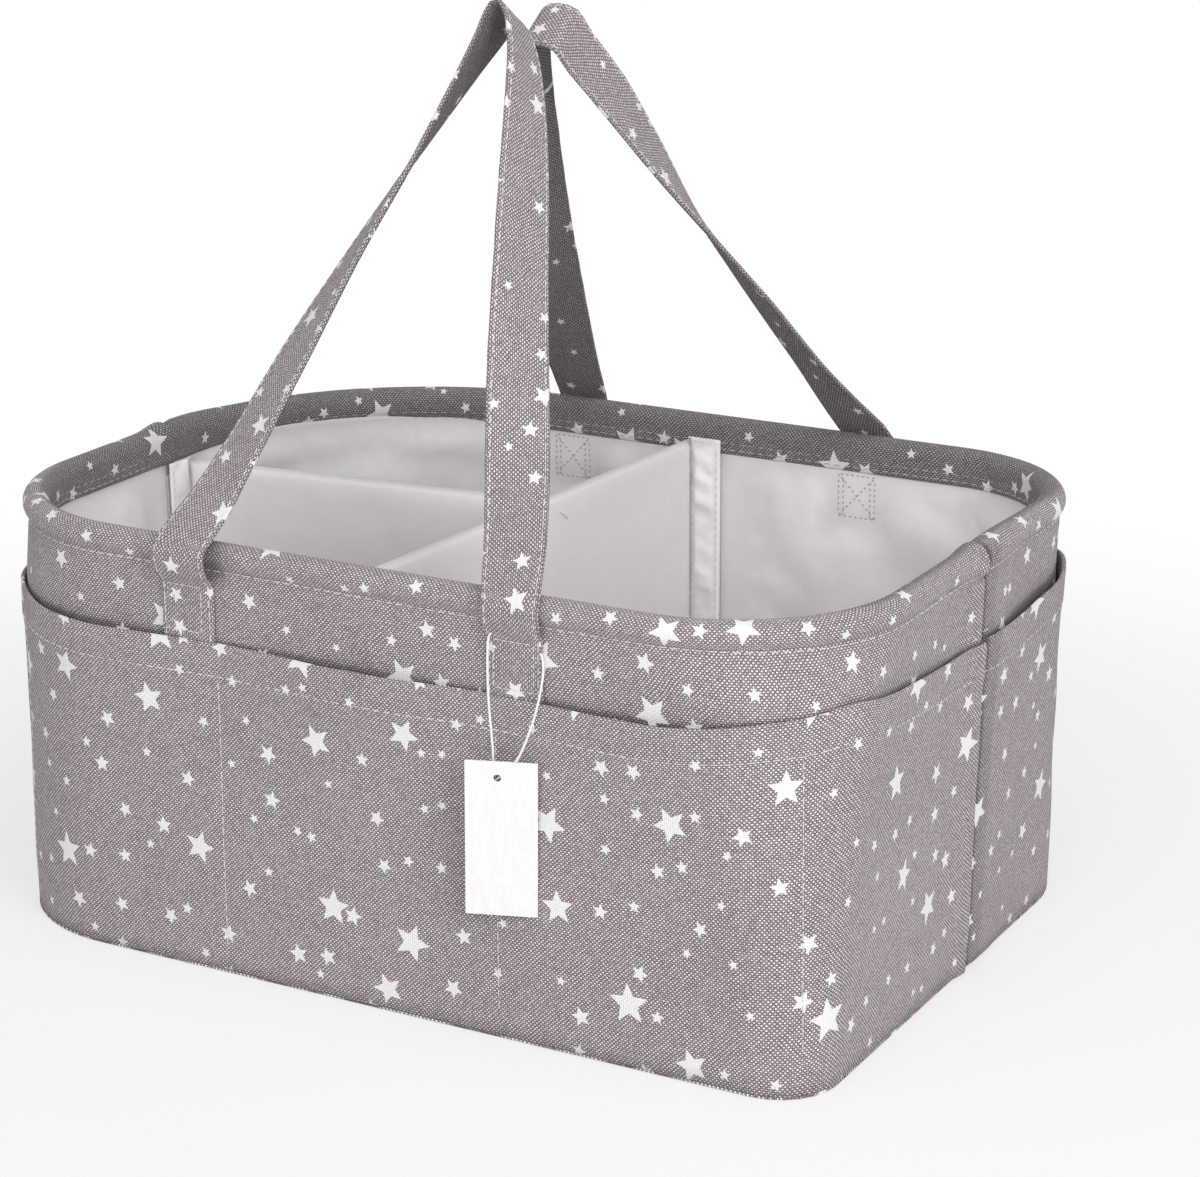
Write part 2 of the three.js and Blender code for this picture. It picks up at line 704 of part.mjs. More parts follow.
dividerPanel('side_divider', sideProfile, sidePlace);

const wallFlapEnd = sideDividerWallPlace + dividerThickness / 2;
const leftStations = (low, high) => [onSide('left', high), onSide('left', low)];
const wallFlapStations = leftStations(wallFlapEnd - flapWidth, wallFlapEnd);
const wallTapeStations = leftStations(wallFlapEnd - flapWidth + tapeMargin, wallFlapEnd - tapeMargin);
const wallFlap = wallSheet(wallFlapStations, flapInset, flapThickness, dividerFoot, sideDividerTop);
addPiece('side_divider_flap_wall', wallFlap, 'liner');
const wallHooks = wallSheet(wallTapeStations, hookInset, hookThickness, tapeFoot, tapeTop);
addPiece('side_divider_hooks_wall', wallHooks, 'tape');
const wallLoops = wallSheet(wallTapeStations, loopInset, loopThickness, tapeFoot, tapeTop);
addPiece('loop_tape_left', wallLoops, 'tape');

// A strip on the left face of the cross divider, between two faces, two places along it and two heights.
function crossStrip(face, thickness, from, to, low, high) {
  const strip = new THREE.BoxGeometry(to - from, thickness, high - low);
  strip.translate((from + to) / 2, -face - thickness / 2, (low + high) / 2);
  return slumped(strip.applyMatrix4(crossPlace));
}

const crossAlong = sideDividerCrossPlace / Math.cos(crossDividerYaw);
const sideTapeWidth = sideFlapWidth - 2 * tapeMargin;
const sideFlapFrom = crossAlong + dividerThickness / 2 - sideFlapWidth;
const sideTapeFrom = sideFlapFrom + tapeMargin;
const sideTapeTo = sideTapeFrom + sideTapeWidth;
const sideFlapTo = sideFlapFrom + sideFlapWidth;
const flapHeights = [dividerFoot, sideDividerTop];
const tapeHeights = [tapeFoot, tapeTop];
const crossFlap = crossStrip(crossFlapFace, flapThickness, sideFlapFrom, sideFlapTo, ...flapHeights);
addPiece('side_divider_flap_cross', crossFlap, 'liner');
const crossHooks = crossStrip(crossHookFace, hookThickness, sideTapeFrom, sideTapeTo, ...tapeHeights);
addPiece('side_divider_hooks_cross', crossHooks, 'tape');
const crossLoops = crossStrip(crossLoopFace, loopThickness, sideTapeFrom, sideTapeTo, ...tapeHeights);
addPiece('loop_tape_cross_divider', crossLoops, 'tape');

// The hang tag: a card with a punched hole, hung on a loop of string.
const cardShape = new THREE.Shape([
  new THREE.Vector2(-tagWidth / 2, -tagHeight),
  new THREE.Vector2(tagWidth / 2, -tagHeight),
  new THREE.Vector2(tagWidth / 2, 0),
  new THREE.Vector2(-tagWidth / 2, 0),
]);
const cardHole = Array.from({ length: holeSides }, (_, i) => {
  const angle = 2 * Math.PI * i / holeSides;
  return new THREE.Vector2(
    tagHoleShift + tagHoleRadius * Math.cos(angle),
    -tagHoleDrop + tagHoleRadius * Math.sin(angle),
  );
});
cardShape.holes.push(new THREE.Path(cardHole));
const cardGeometry = new THREE.ExtrudeGeometry(cardShape, { depth: tagThickness, bevelEnabled: false });
cardGeometry.translate(0, 0, -tagThickness / 2);
const tagFoot = wallPoint(onSide('front', tagPlace), pocketInset, tagTop - tagHeight);
const card = addPiece('hang_tag_card', cardGeometry, 'card');
card.position.set(tagPlace, tagFoot.y - tagClearance - (tagWidth / 2) * Math.sin(tagYaw), tagTop);
card.rotation.set(Math.PI / 2, 0, tagYaw, 'ZYX');

const stringSection = new THREE.Shape(Array.from({ length: stringSides }, (_, i) => {
  const angle = 2 * Math.PI * i / stringSides;
  return new THREE.Vector2(stringRadius * Math.cos(angle), stringRadius * Math.sin(angle));
}));
const stringPath = new THREE.CatmullRomCurve3(stringRoute.map((point) => new THREE.Vector3(...point)));
addPiece('hang_tag_string', new THREE.ExtrudeGeometry(stringSection, {
  steps: stringSteps,
  extrudePath: stringPath,
}), 'thread');

// The caddy is set on the table with the middle of the box round it, without the tag, at the origin.
const box = new THREE.Box3();
for (const piece of caddy.children) {
  if (!piece.name.startsWith('hang_tag')) box.expandByObject(piece);
}
const middle = box.getCenter(new THREE.Vector3());
caddy.position.set(-middle.x, -middle.y, -box.min.z);

export default caddy;
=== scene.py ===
"""The cloth, stitching, print and stage of a soft diaper caddy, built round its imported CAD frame."""

import json
import math
from functools import lru_cache

import bpy
import numpy as np
from bpy.props import FloatProperty, FloatVectorProperty, PointerProperty
from mathutils import Matrix, Vector, noise


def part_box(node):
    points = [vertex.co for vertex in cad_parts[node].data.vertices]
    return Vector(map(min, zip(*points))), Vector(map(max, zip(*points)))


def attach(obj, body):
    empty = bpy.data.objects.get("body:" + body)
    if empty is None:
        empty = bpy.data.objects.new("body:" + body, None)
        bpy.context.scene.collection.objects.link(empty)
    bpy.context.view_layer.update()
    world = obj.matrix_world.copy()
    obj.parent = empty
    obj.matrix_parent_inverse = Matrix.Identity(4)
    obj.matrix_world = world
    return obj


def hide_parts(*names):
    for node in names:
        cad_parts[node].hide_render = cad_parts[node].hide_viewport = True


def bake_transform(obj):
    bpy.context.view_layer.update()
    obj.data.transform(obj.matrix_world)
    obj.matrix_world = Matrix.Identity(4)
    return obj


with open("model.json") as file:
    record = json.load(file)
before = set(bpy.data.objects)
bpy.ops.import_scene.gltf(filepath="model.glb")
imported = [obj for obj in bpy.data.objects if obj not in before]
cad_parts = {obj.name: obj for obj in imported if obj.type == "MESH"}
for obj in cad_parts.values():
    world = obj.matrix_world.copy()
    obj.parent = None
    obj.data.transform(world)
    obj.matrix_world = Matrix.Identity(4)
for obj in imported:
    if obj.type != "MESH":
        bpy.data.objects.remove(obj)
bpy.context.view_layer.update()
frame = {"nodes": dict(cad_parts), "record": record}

bl_info = {
    "name": "Diaper Caddy",
    "version": (1, 0, 0),
    "blender": (4, 5, 0),
    "location": "View3D > Sidebar > Caddy",
    "description": "Builds the canvas, lining, straps, stitches and stage of a diaper caddy",
    "category": "Add Mesh",
}

# Sizes in millimetres. Those of the frame are the CAD source's own, but for the tighter front right
# corner of the base.
MM = 0.001
GAP = 0.3

# Walls, from the base to the rolled rim.
RIM_CENTRE = (-1.366, 2.790)
RIM_LENGTH, RIM_WIDTH, RIM_HEIGHT = 426, 310, 190.5
BASE_LENGTH = 411.4
SLUMP_X, SLUMP_Y = 6.8, -8.8
RIM_CORNERS = {"front_right": 83, "back_right": 72, "back_left": 148, "front_left": 85}
POCKET_CORNERS = {"front_right": 50, "back_right": 70, "back_left": 100, "front_left": 77}
BASE_CORNERS = {"front_right": 25, "back_right": 58, "back_left": 60, "front_left": 67}
OUT = {"front": -1, "back": 1}
CORNERS = {"front": ("front_left", "front_right"), "back": ("back_right", "back_left")}
CORNER_START = {"front_right": -90, "back_right": 0, "back_left": 90, "front_left": 180}
CORNER_SIDE = {"front_right": (1, -1), "back_right": (1, 1), "back_left": (-1, 1), "front_left": (-1, -1)}
STITCHES = {"front": (-70, 66), "back": (66, -48)}
CANVAS, LINING = 1.2, 1.0
BOARD, BASE_BOARD = 5, 3
ROLL_RADIUS, ROLL_PROUD, HEM_DEPTH = 6, 2.5, 17
WALL_ANGLE = 3.3
RIM_STITCH_DROP, ROW_TRIM = 12, 4
HEM_STITCH_RISES = (2.2, 5.4)

# A stitch is cut into so many lengths and sides, and its ends sink by so many radii.
STITCH_CUTS, STITCH_SIDES, STITCH_SINK = 5, 6, 1.35

# Side seams: the front half's fold stands proud over the back half.
SEAM_STEPS = (0, 0.35, 0.8, 1.4, 2.2, 3.2, 4.6, 6.5, 9, 12.5)
SEAM_OVERLAP, SEAM_OVERLAP_REACH = 2.0, 7
SEAM_PROUD, SEAM_PROUD_REACH = 2.7, 10
SEAM_LIP, SEAM_LIP_REACH = 1.6, 1.1
SEAM_DIVE, SEAM_DIVE_REACH = 1.1, 13

# Pockets.
POCKET_HEIGHT, POCKET_RISE, POCKET_REACH = 147.5, 7, 90
GAPE_DEPTH = 70
SIDE_GAPE_SHARE = {"front": 0.3, "back": 1}
POCKET_HEM = 14
POCKET_SHADE, POCKET_SHADE_RISE, POCKET_SHADE_FADE = 0.75, 1.9, 2.2
POCKET_LEVELS = 22

# Straps and handles.
STRAP_WIDTH, STRAP_THICKNESS = 26.4, 2.2
STRAP_PUFF, STRAP_PUFF_RISE = 1.7, 5
STRAP_ROW = 1.9
STRAP_STAND = {"front_left": 4.6, "front_right": 1.8, "back_left": 1.0, "back_right": 1.0}
STRAP_BOX_LOW, STRAP_BOX_HIGH, STRAP_BOX_HALF = 151.5, 171.5, 9.3
STRAP_BOX_SHIFT = {"front_left": -1.95}
STRAP_PLACES = {"front_left": -84, "front_right": 75, "back_left": -62, "back_right": 91}
STRAP_END_FRAMES, HANDLE_STEPS, LOOSE_FRAME = 16, 120, 74
STRAP_INSIDE_ROW_START = 46
BEND_BELOW, BEND_ABOVE = 0.004, 0.012  # metres down and up from a handle's hinge
# The middle of a handle's top (x, y and height), and how long its flat top is.
APEX = {"front": (-6.8, -14.7, 397.5, 6), "back": (-3, 13.7, 390, 14)}
# Shares of a handle's height, and at each one a leg's spread (1 at its foot, 0 at the top) and its twist
# out of the handle's plane in degrees.
LEG_HEIGHTS = (0, 0.18, 0.36, 0.54, 0.7, 0.84, 0.94)
LEG_SPREADS = {
    "front_left": (1, 0.83, 0.68, 0.515, 0.345, 0.2, 0.1),
    "front_right": (1, 0.85, 0.68, 0.52, 0.385, 0.26, 0.15),
    "back_left": (1, 0.92, 0.81, 0.68, 0.53, 0.36, 0.2),
    "back_right": (1, 0.81, 0.64, 0.465, 0.34, 0.23, 0.13),
}
LEG_TWISTS = {
    "front_left": (0, 20, 28, 43, 52, 65, 76),
    "front_right": (0, 18, 38, 53, 62, 74, 85),
    "back_left": (0, 15, 25, 35, 50, 70, 85),
    "back_right": (0, 24, 31, 45, 68, 84, 88),
}

# Dividers and their flaps.
DIVIDER = 4.2
CROSS_PLACE, CROSS_YAW, CROSS_TOP = -4, math.radians(-4), 180.5
SIDE_WALL_PLACE, SIDE_CROSS_PLACE, SIDE_TOP = 10, 30, 174
FLAP_WIDTH, SIDE_FLAP_WIDTH, FLAP = 17, 13, 1
LOOP, HOOK = 1.2, 1
FLAP_ROW = 2.0
PAD_COLUMNS, PAD_ROWS, PAD_EDGE = 56, 40, 0.05

# Lining: how it hangs, and how its cloth is settled.
HANG = 0.85
STAND_OFF, LINING_REACH = 3.5, 8.0
SETTLE_FRAMES = 28
COVERED_BOARDS = {
    "front": ("wall_board_front", "wall_board_left"), "back": ("wall_board_back", "wall_board_right"),
}
LINING_CLOTH = {
    "quality": 6, "mass": 0.25, "tension_stiffness": 12, "compression_stiffness": 12, "shear_stiffness": 6,
    "bending_stiffness": 2, "air_damping": 2,
}

# The tag's string: its line, and the heights at which its loop ends and its free strands start.
STRING_RADIUS = 0.5
STRING_LOOP_END, STRING_SWING_START = 170, 160
STRING_ROUTE = (
    (70.4, -165.2, 114.4), (72.2, -165.2, 121.5), (70, -164.2, 136), (68, -162.8, 148), (66.7, -161.3, 159),
    (65.8, -159.5, 168), (65.2, -158, 172.6), (65.8, -155.6, 175), (69, -154.6, 173), (81, -154.5, 170.6),
    (88.6, -155.2, 169.6), (91.2, -158.2, 162.5), (91, -161.6, 152), (88.8, -163.4, 141), (84.4, -164.2, 129),
    (80.6, -164.9, 121.5), (71.9, -164.6, 114.4),
)

# Sizes that follow from the ones above.
HALF_WIDTH = RIM_WIDTH / 2 - ROLL_PROUD
HALF_NECK = RIM_LENGTH / 2 - ROLL_PROUD
ROLL_INSET = ROLL_RADIUS - ROLL_PROUD
ROLL_HEIGHT = RIM_HEIGHT - ROLL_RADIUS
ROLL_START = ROLL_HEIGHT - math.sqrt(ROLL_RADIUS**2 - ROLL_INSET**2)
HEM_HEIGHT = RIM_HEIGHT - HEM_DEPTH
POCKET_TOP = POCKET_HEIGHT + POCKET_RISE
FOOT = CANVAS + GAP
LINER_INSET = CANVAS + GAP + BOARD + GAP
LINER_FACE = LINER_INSET + LINING
LINER_FLOOR = FOOT + BASE_BOARD + GAP
FLOOR_FACE = LINER_FLOOR + LINING
LINER_TOP = ROLL_HEIGHT - (ROLL_RADIUS - CANVAS - GAP) - 2 * GAP
HOOK_INSET = ROLL_INSET + ROLL_RADIUS + GAP
FLAP_INSET = HOOK_INSET + HOOK + GAP
DIVIDER_INSET = FLAP_INSET + FLAP + GAP
DIVIDER_FOOT = FLOOR_FACE + GAP
STRAP_ROUND = ROLL_RADIUS + GAP + STRAP_THICKNESS / 2
ROLL_RIM = ROLL_INSET + ROLL_RADIUS
TAPES = GAP + LOOP + GAP + HOOK + GAP


# --- Settings ---
class CaddyShape(bpy.types.PropertyGroup):
    """Sizes of the cloth that a maker would change."""

    swell: FloatProperty(name="Wall swell", unit="LENGTH", default=0.0009,
        description="How far the canvas of the walls wanders in and out")
    pocket_gape: FloatProperty(name="Pocket gape", unit="LENGTH", default=0.004,
        description="How far the front and back pockets stand open between their stitches")
    side_gape: FloatProperty(name="Side pocket gape", unit="LENGTH", default=0.0035,
        description="How far the side pockets stand open")
    lining_ease: FloatProperty(name="Lining ease", default=0.02,
        description="How much bigger the lining is cut than the walls that it hangs on, as a share")
    crease: FloatProperty(name="Lining creases", unit="LENGTH", default=0.0062,
        description="How deep the soft creases of the lining are")
    stitch_length: FloatProperty(name="Stitch length", unit="LENGTH", default=0.0036,
        description="Length of one stitch")
    stitch_gap: FloatProperty(name="Stitch gap", unit="LENGTH", default=0.0014,
        description="Cloth showing between two stitches")
    stitch_radius: FloatProperty(name="Thread radius", unit="LENGTH", default=0.00025,
        description="Half the thickness of the sewing thread")
    divider_puff: FloatProperty(name="Divider puff", unit="LENGTH", default=0.0008,
        description="How far the dividers' cloth stands off their boards")


class CaddyFinish(bpy.types.PropertyGroup):
    """Colours of the cloth, and the scale of its print and weave."""

    yarn: FloatVectorProperty(name="Canvas yarn", subtype="COLOR", size=4, default=(0.93, 0.872, 0.88, 1),
        description="Colour of the canvas where its yarn stands up")
    # Painted shade in the gaps between the yarns.
    gap_shade: FloatVectorProperty(name="Canvas gaps", subtype="COLOR", size=4,
        default=(0.058, 0.024, 0.027, 1), description="Colour of the canvas between its yarns")
    # The canvas's inner side in painted shade: its yarn and its gaps.
    inner_shade_yarn: FloatVectorProperty(name="Yarn inside", subtype="COLOR", size=4,
        default=(0.52, 0.47, 0.465, 1), description="Colour of the yarn on the canvas's inner side")
    inner_shade_gap: FloatVectorProperty(name="Gaps inside", subtype="COLOR", size=4,
        default=(0.03, 0.025, 0.025, 1), description="Colour of the gaps on the canvas's inner side")
    star: FloatVectorProperty(name="Stars", subtype="COLOR", size=4, default=(0.92, 0.91, 0.92, 1),
        description="Colour of the printed stars")
    # The stars in painted shade on the canvas's inner side.
    inner_shade_star: FloatVectorProperty(name="Stars inside", subtype="COLOR", size=4,
        default=(0.84, 0.78, 0.83, 1), description="Colour of the stars on the inner side")
    lining: FloatVectorProperty(name="Lining", subtype="COLOR", size=4, default=(0.83, 0.803, 0.813, 1),
        description="Colour of the lining and the dividers")
    thread: FloatVectorProperty(name="Thread", subtype="COLOR", size=4, default=(0.74, 0.72, 0.73, 1),
        description="Colour of the sewing thread")
    # A duller thread for the straps' crosses and the lining's needle marks, and painted shade on the thread
    # of the rim's inner hem.
    dull_thread: FloatVectorProperty(name="Dull thread", subtype="COLOR", size=4,
        default=(0.46, 0.43, 0.44, 1), description="Colour of the thread round the inner side of the rim")
    # A darker copy of the thread for the handles' inner side: painted shade.
    hidden_thread: FloatVectorProperty(name="Under thread", subtype="COLOR", size=4,
        default=(0.21, 0.19, 0.19, 1), description="Colour of the thread on the inner side of the handles")
    string: FloatVectorProperty(name="Tag string", subtype="COLOR", size=4, default=(0.9, 0.9, 0.9, 1),
        description="Colour of the tag's string")
    card: FloatVectorProperty(name="Card", subtype="COLOR", size=4, default=(0.88, 0.87, 0.885, 1),
        description="Colour of the hang tag")
    weave: FloatProperty(name="Weave pitch", unit="LENGTH", default=0.00093,
        description="Distance between two threads of the canvas")
    big_star: FloatProperty(name="Big star", unit="LENGTH", default=0.0092,
        description="Radius of the biggest stars")
    small_star: FloatProperty(name="Small star", unit="LENGTH", default=0.0028,
        description="Radius of the smallest stars")
    big_spacing: FloatProperty(name="Big star spacing", unit="LENGTH", default=0.058,
        description="Distance between two big stars")
    small_spacing: FloatProperty(name="Small star spacing", unit="LENGTH", default=0.0215,
        description="Distance between two small stars")


class CaddyStage(bpy.types.PropertyGroup):
    """Light round the caddy."""

    sky: FloatProperty(name="Sky", default=0.43,
        description="Strength of the even light from all round")
    key: FloatProperty(name="Key lamp", unit="POWER", default=11.4,
        description="Power of the lamp above the front")
    top: FloatProperty(name="Top lamp", unit="POWER", default=9.8,
        description="Power of the lamp overhead")
    fill: FloatProperty(name="Fill lamp", unit="POWER", default=17.2,
        description="Power of the lamp at the right")


# --- The walls' outline, as in the CAD source ---
def lerp(a, b, share):
    """The place a share of the way from a to b."""
    return a + (b - a) * share


def smooth(share):
    """Rises softly from 0 to 1 as the share does."""
    share = min(max(share, 0.0), 1.0)
    return share * share * (3 - 2 * share)


def on_side(side, at):
    """The station at a place along one side of the walls."""
    return ("side", side, at)


def slump(height):
    """How far the walls lean at a height, against the rim."""
    share = 1 - height / RIM_HEIGHT
    return SLUMP_X * share, SLUMP_Y * share


def corner_radius(corner, height):
    """A corner's radius, from the base's over the pockets' to the rim's."""
    if height < POCKET_TOP:
        return lerp(BASE_CORNERS[corner], POCKET_CORNERS[corner], height / POCKET_TOP)
    share = min((height - POCKET_TOP) / (ROLL_START - POCKET_TOP), 1)
    return lerp(POCKET_CORNERS[corner], RIM_CORNERS[corner] - ROLL_PROUD, share)


def half_length(height):
    """Half the walls' length at a height: they widen a little up to the roll."""
    return lerp(BASE_LENGTH / 2, HALF_NECK, min(height / ROLL_START, 1))


@lru_cache(maxsize=None)
def run_pieces(half, part, height):
    """One third of a half's outline at a height: its straight pieces and its corner, with their lengths."""
    corner = CORNERS[half][part // 2]
    side_x, side_y = CORNER_SIDE[corner]
    radius = corner_radius(corner, height)
    first, last = STITCHES[half]
    if part == 1:
        return [("side", half, first, last, abs(last - first))]
    side = "right" if side_x > 0 else "left"
    seam, edge = OUT[half] * GAP / 2, side_y * (HALF_WIDTH - radius)
    sewn, start = (first, last)[part // 2], side_x * (half_length(height) - radius)
    arc_length = math.pi / 2 * radius
    if part == 0:
        return [("side", side, seam, edge, abs(edge - seam)), ("corner", corner, 0, 1, arc_length),
            ("side", half, start, sewn, abs(sewn - start))]
    return [("side", half, sewn, start, abs(sewn - start)), ("corner", corner, 0, 1, arc_length),
        ("side", side, edge, seam, abs(edge - seam))]


def resolve(station, height):
    """A place that is a share of a run becomes a place on a side or a corner at this height."""
    if station[0] != "run":
        return station
    (half, part), share = station[1:]
    pieces = run_pieces(half, part, round(height, 2))
    want = share * sum(piece[-1] for piece in pieces)
    for kind, name, low, high, length in pieces:
        if want <= length or (kind, name, low, high, length) == pieces[-1]:
            return (kind, name, lerp(low, high, min(want / length, 1)))
        want -= length


def wall_point(station, inset, height):
    """The point of the walls at a station, so far in from their outer face and so high, in millimetres."""
    kind, name, at = resolve(station, height)
    half = half_length(height)
    if kind == "corner":
        radius = corner_radius(name, height)
        side_x, side_y = CORNER_SIDE[name]
        angle = math.radians(CORNER_START[name] + 90 * at)
        x = side_x * (half - radius) + (radius - inset) * math.cos(angle)
        y = side_y * (HALF_WIDTH - radius) + (radius - inset) * math.sin(angle)
    elif name in ("front", "back"):
        x, y = at, (1 if name == "back" else -1) * (HALF_WIDTH - inset)
    else:
        x, y = (1 if name == "right" else -1) * (half - inset), at
    slump_x, slump_y = slump(height)
    return Vector((x + slump_x + RIM_CENTRE[0], y + slump_y + RIM_CENTRE[1], height))


def outward(station):
    """The direction in which a station's wall faces."""
    kind, name, at = resolve(station, POCKET_HEIGHT)
    if kind == "corner":
        angle = math.radians(CORNER_START[name] + 90 * at)
        return Vector((math.cos(angle), math.sin(angle), 0))
    return Vector({"front": (0, -1, 0), "back": (0, 1, 0), "left": (-1, 0, 0), "right": (1, 0, 0)}[name])


def steps_between(low, high, spacing):
    """Even steps of about a spacing, with both ends."""
    count = max(1, round(abs(high - low) / spacing))
    return [lerp(low, high, i / count) for i in range(count + 1)]


def half_outline(half, spacing=5.0, fine_ends=False):
    """Stations along one half of the walls, from side seam to side seam."""
    stations = []
    for part in range(3):
        length = sum(piece[-1] for piece in run_pieces(half, part, POCKET_HEIGHT))
        shares = [at / length for at in steps_between(0, length, spacing)]
        if fine_ends and part != 1:
            near = [at / length for at in SEAM_STEPS]
            shares = near + [share for share in shares if share > near[-1] + 1 / length]
            shares = [1 - share for share in reversed(shares)] if part == 2 else shares
        stations += [("run", (half, part), share) for share in shares[(part > 0):]]
    return stations


def distances(stations):
    """The distance round the walls at each station, from the first one."""
    points = [wall_point(station, 0, POCKET_HEIGHT) for station in stations]
    run = [0.0]
    for a, b in zip(points, points[1:]):
        run.append(run[-1] + (b - a).length)
    return run


def swell_at(point):
    """How far every outer layer stands out at a point of the walls: the cloth's own slow wander."""
    slow = noise.noise(Vector((point.x / 62, point.y / 62, point.z / 75)))
    quick = noise.noise(Vector((point.x / 24 + 9, point.y / 24, point.z / 30)))
    fade = smooth(point.z / 25)
    return setting("swell") * fade * (0.5 + 0.8 * slow + 0.35 * quick)


def seam_lift(half, distance, total):
    """At a side seam the front half's folded edge stands proud and the back half dives under it."""
    near = min(distance, total - distance)
    if half == "front":
        proud = SEAM_PROUD * math.exp(-((near / SEAM_PROUD_REACH) ** 2))
        return proud - SEAM_LIP * max(0, 1 - near / SEAM_LIP_REACH) ** 2
    rise = smooth(near / SEAM_DIVE_REACH)
    return 1.5 * rise * smooth(1 - (near - 22) / 40) - SEAM_DIVE * (1 - rise)


def cloth_lift(half, station, at, total, height):
    """How far the outer cloth stands out at a station and a height."""
    return swell_at(wall_point(station, 0, height)) + seam_lift(half, at, total)


def seam_shade(half, distance, total):
    """1 in the crease beside the fold, fading to 0 over the strip that comes out of it."""
    near = min(distance, total - distance)
    if half == "front":
        return 0.8 * smooth(1 - near / 0.9)
    return max(smooth(1 - (near - 6.4) / 2.0), 0.3 * smooth(1 - (near - 16) / 5))


def over_seam(half, distance, total):
    """How far a point of the front half moves along the side, so that its fold lies over the back half."""
    near = min(distance, total - distance)
    return SEAM_OVERLAP * max(0, 1 - near / SEAM_OVERLAP_REACH) if half == "front" else 0


# --- Meshes ---
def new_mesh(name, points, faces, uvs, material, inside=None, shade=None):
    """A mesh object from points in millimetres, with a UV map in metres called Cloth and two masks."""
    mesh = bpy.data.meshes.new(name)
    mesh.from_pydata([tuple(c * MM for c in p) for p in points], [], faces)
    layer = mesh.uv_layers.new(name="Cloth")
    layer.data.foreach_set("uv", [c * MM for face in uvs for pair in face for c in pair])
    for mask, values in (("inside", inside), ("shade", shade)):
        if values is not None:
            mesh.attributes.new(mask, "FLOAT", "POINT").data.foreach_set("value", values)
    mesh.polygons.foreach_set("use_smooth", [True] * len(mesh.polygons))
    if material:
        mesh.materials.append(material)
    mesh.validate()
    piece = bpy.data.objects.new(name, mesh)
    bpy.context.collection.objects.link(piece)
    return piece


def sweep(name, rings, along, across, material, inside=None, shade=None, offset=(0.0, 0.0)):
    """A closed tube through rings of points. along and across are the places on the cloth."""
    count = len(rings[0])
    points = [point for ring in rings for point in ring]
    across = list(across)
    faces, uvs = [], []
    for i in range(len(rings) - 1):
        for j in range(count):
            k = (j + 1) % count
            faces.append((i * count + j, i * count + k, (i + 1) * count + k, (i + 1) * count + j))
            u0, u1 = along[i] + offset[0], along[i + 1] + offset[0]
            v0, v1 = across[j] + offset[1], across[j + 1] + offset[1]
            uvs.append(((u0, v0), (u0, v1), (u1, v1), (u1, v0)))
    last = (len(rings) - 1) * count
    for ring, order in ((0, range(count - 1, -1, -1)), (last, range(count))):
        faces.append(tuple(ring + j for j in order))
        uvs.append(tuple((offset[0], across[j] + offset[1]) for j in order))
    piece = new_mesh(name, points, faces, uvs, material, inside, shade)
    fix_facing(piece)
    return piece


def flat_panel(name, edge, shares, levels, material):
    """A closed panel inside an edge. levels are (height, height at the edge) of its lower and upper face."""
    middle = sum(edge, Vector()) / len(edge)
    count, rings = len(edge), 2 * len(shares)
    points, faces = [], []
    for (height, rim), order in zip(levels, (shares, shares[::-1])):
        for share in order:
            for p in edge:
                q = middle.lerp(p, share)
                points.append(Vector((q.x, q.y, rim if share == 1.0 else height)))
    for i in range(rings - 1):
        for j in range(count):
            k, m = (j + 1) % count, i + 1
            faces.append((i * count + j, i * count + k, m * count + k, m * count + j))
    faces += [tuple(range(count - 1, -1, -1)), tuple(range((rings - 1) * count, rings * count))]
    uvs = [tuple((points[v].x, points[v].y) for v in face) for face in faces]
    piece = new_mesh(name, points, faces, uvs, material)
    fix_facing(piece)
    return piece


def fix_facing(piece):
    """Turns a closed mesh so that its faces point out."""
    mesh = piece.data
    mesh.calc_loop_triangles()
    total = 0.0
    for tri in mesh.loop_triangles:
        a, b, c = (mesh.vertices[i].co for i in tri.vertices)
        total += a.dot(b.cross(c))
    if total < 0:
        mesh.flip_normals()


def section_lengths(section):
    """Running length of a closed section of [inset, height] points, with the closing one."""
    run = [0.0]
    for a, b in zip(section, [*section[1:], section[0]]):
        run.append(run[-1] + math.dist(a, b))
    return run


def sew(name, rows, thread="thread", body="caddy", **sizes):
    """Makes a piece of stitches and gives it its body."""
    finish(stitches(name, rows, materials()[thread], **sizes), body)


def whole_outline():
    """Stations round all the walls, for the panels that lie flat inside them."""
    return [*half_outline("front", 6.0)[:-1], *half_outline("back", 6.0)[:-1]]


def setting(name):
    """A length from the shape settings, in millimetres."""
    return getattr(bpy.context.scene.caddy_shape, name) / MM


def finish(piece, body, nodes=()):
    """Gives a piece its body and the CAD pieces that it stands for."""
    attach(piece, body)
    if nodes:
        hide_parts(*nodes)


# --- Stitches ---
def resample(line, spacing):
    """Points at even steps along a line of (point, normal) pairs."""
    lengths = [0.0]
    for (a, _), (b, _) in zip(line, line[1:]):
        lengths.append(lengths[-1] + (b - a).length)
    out, k = [], 0
    for at in np.arange(0, lengths[-1], spacing):
        while k < len(line) - 2 and lengths[k + 1] < at:
            k += 1
        share = (at - lengths[k]) / max(lengths[k + 1] - lengths[k], 1e-6)
        (a, na), (b, nb) = line[k], line[k + 1]
        out.append((a.lerp(b, share), na.lerp(nb, share).normalized()))
    return out


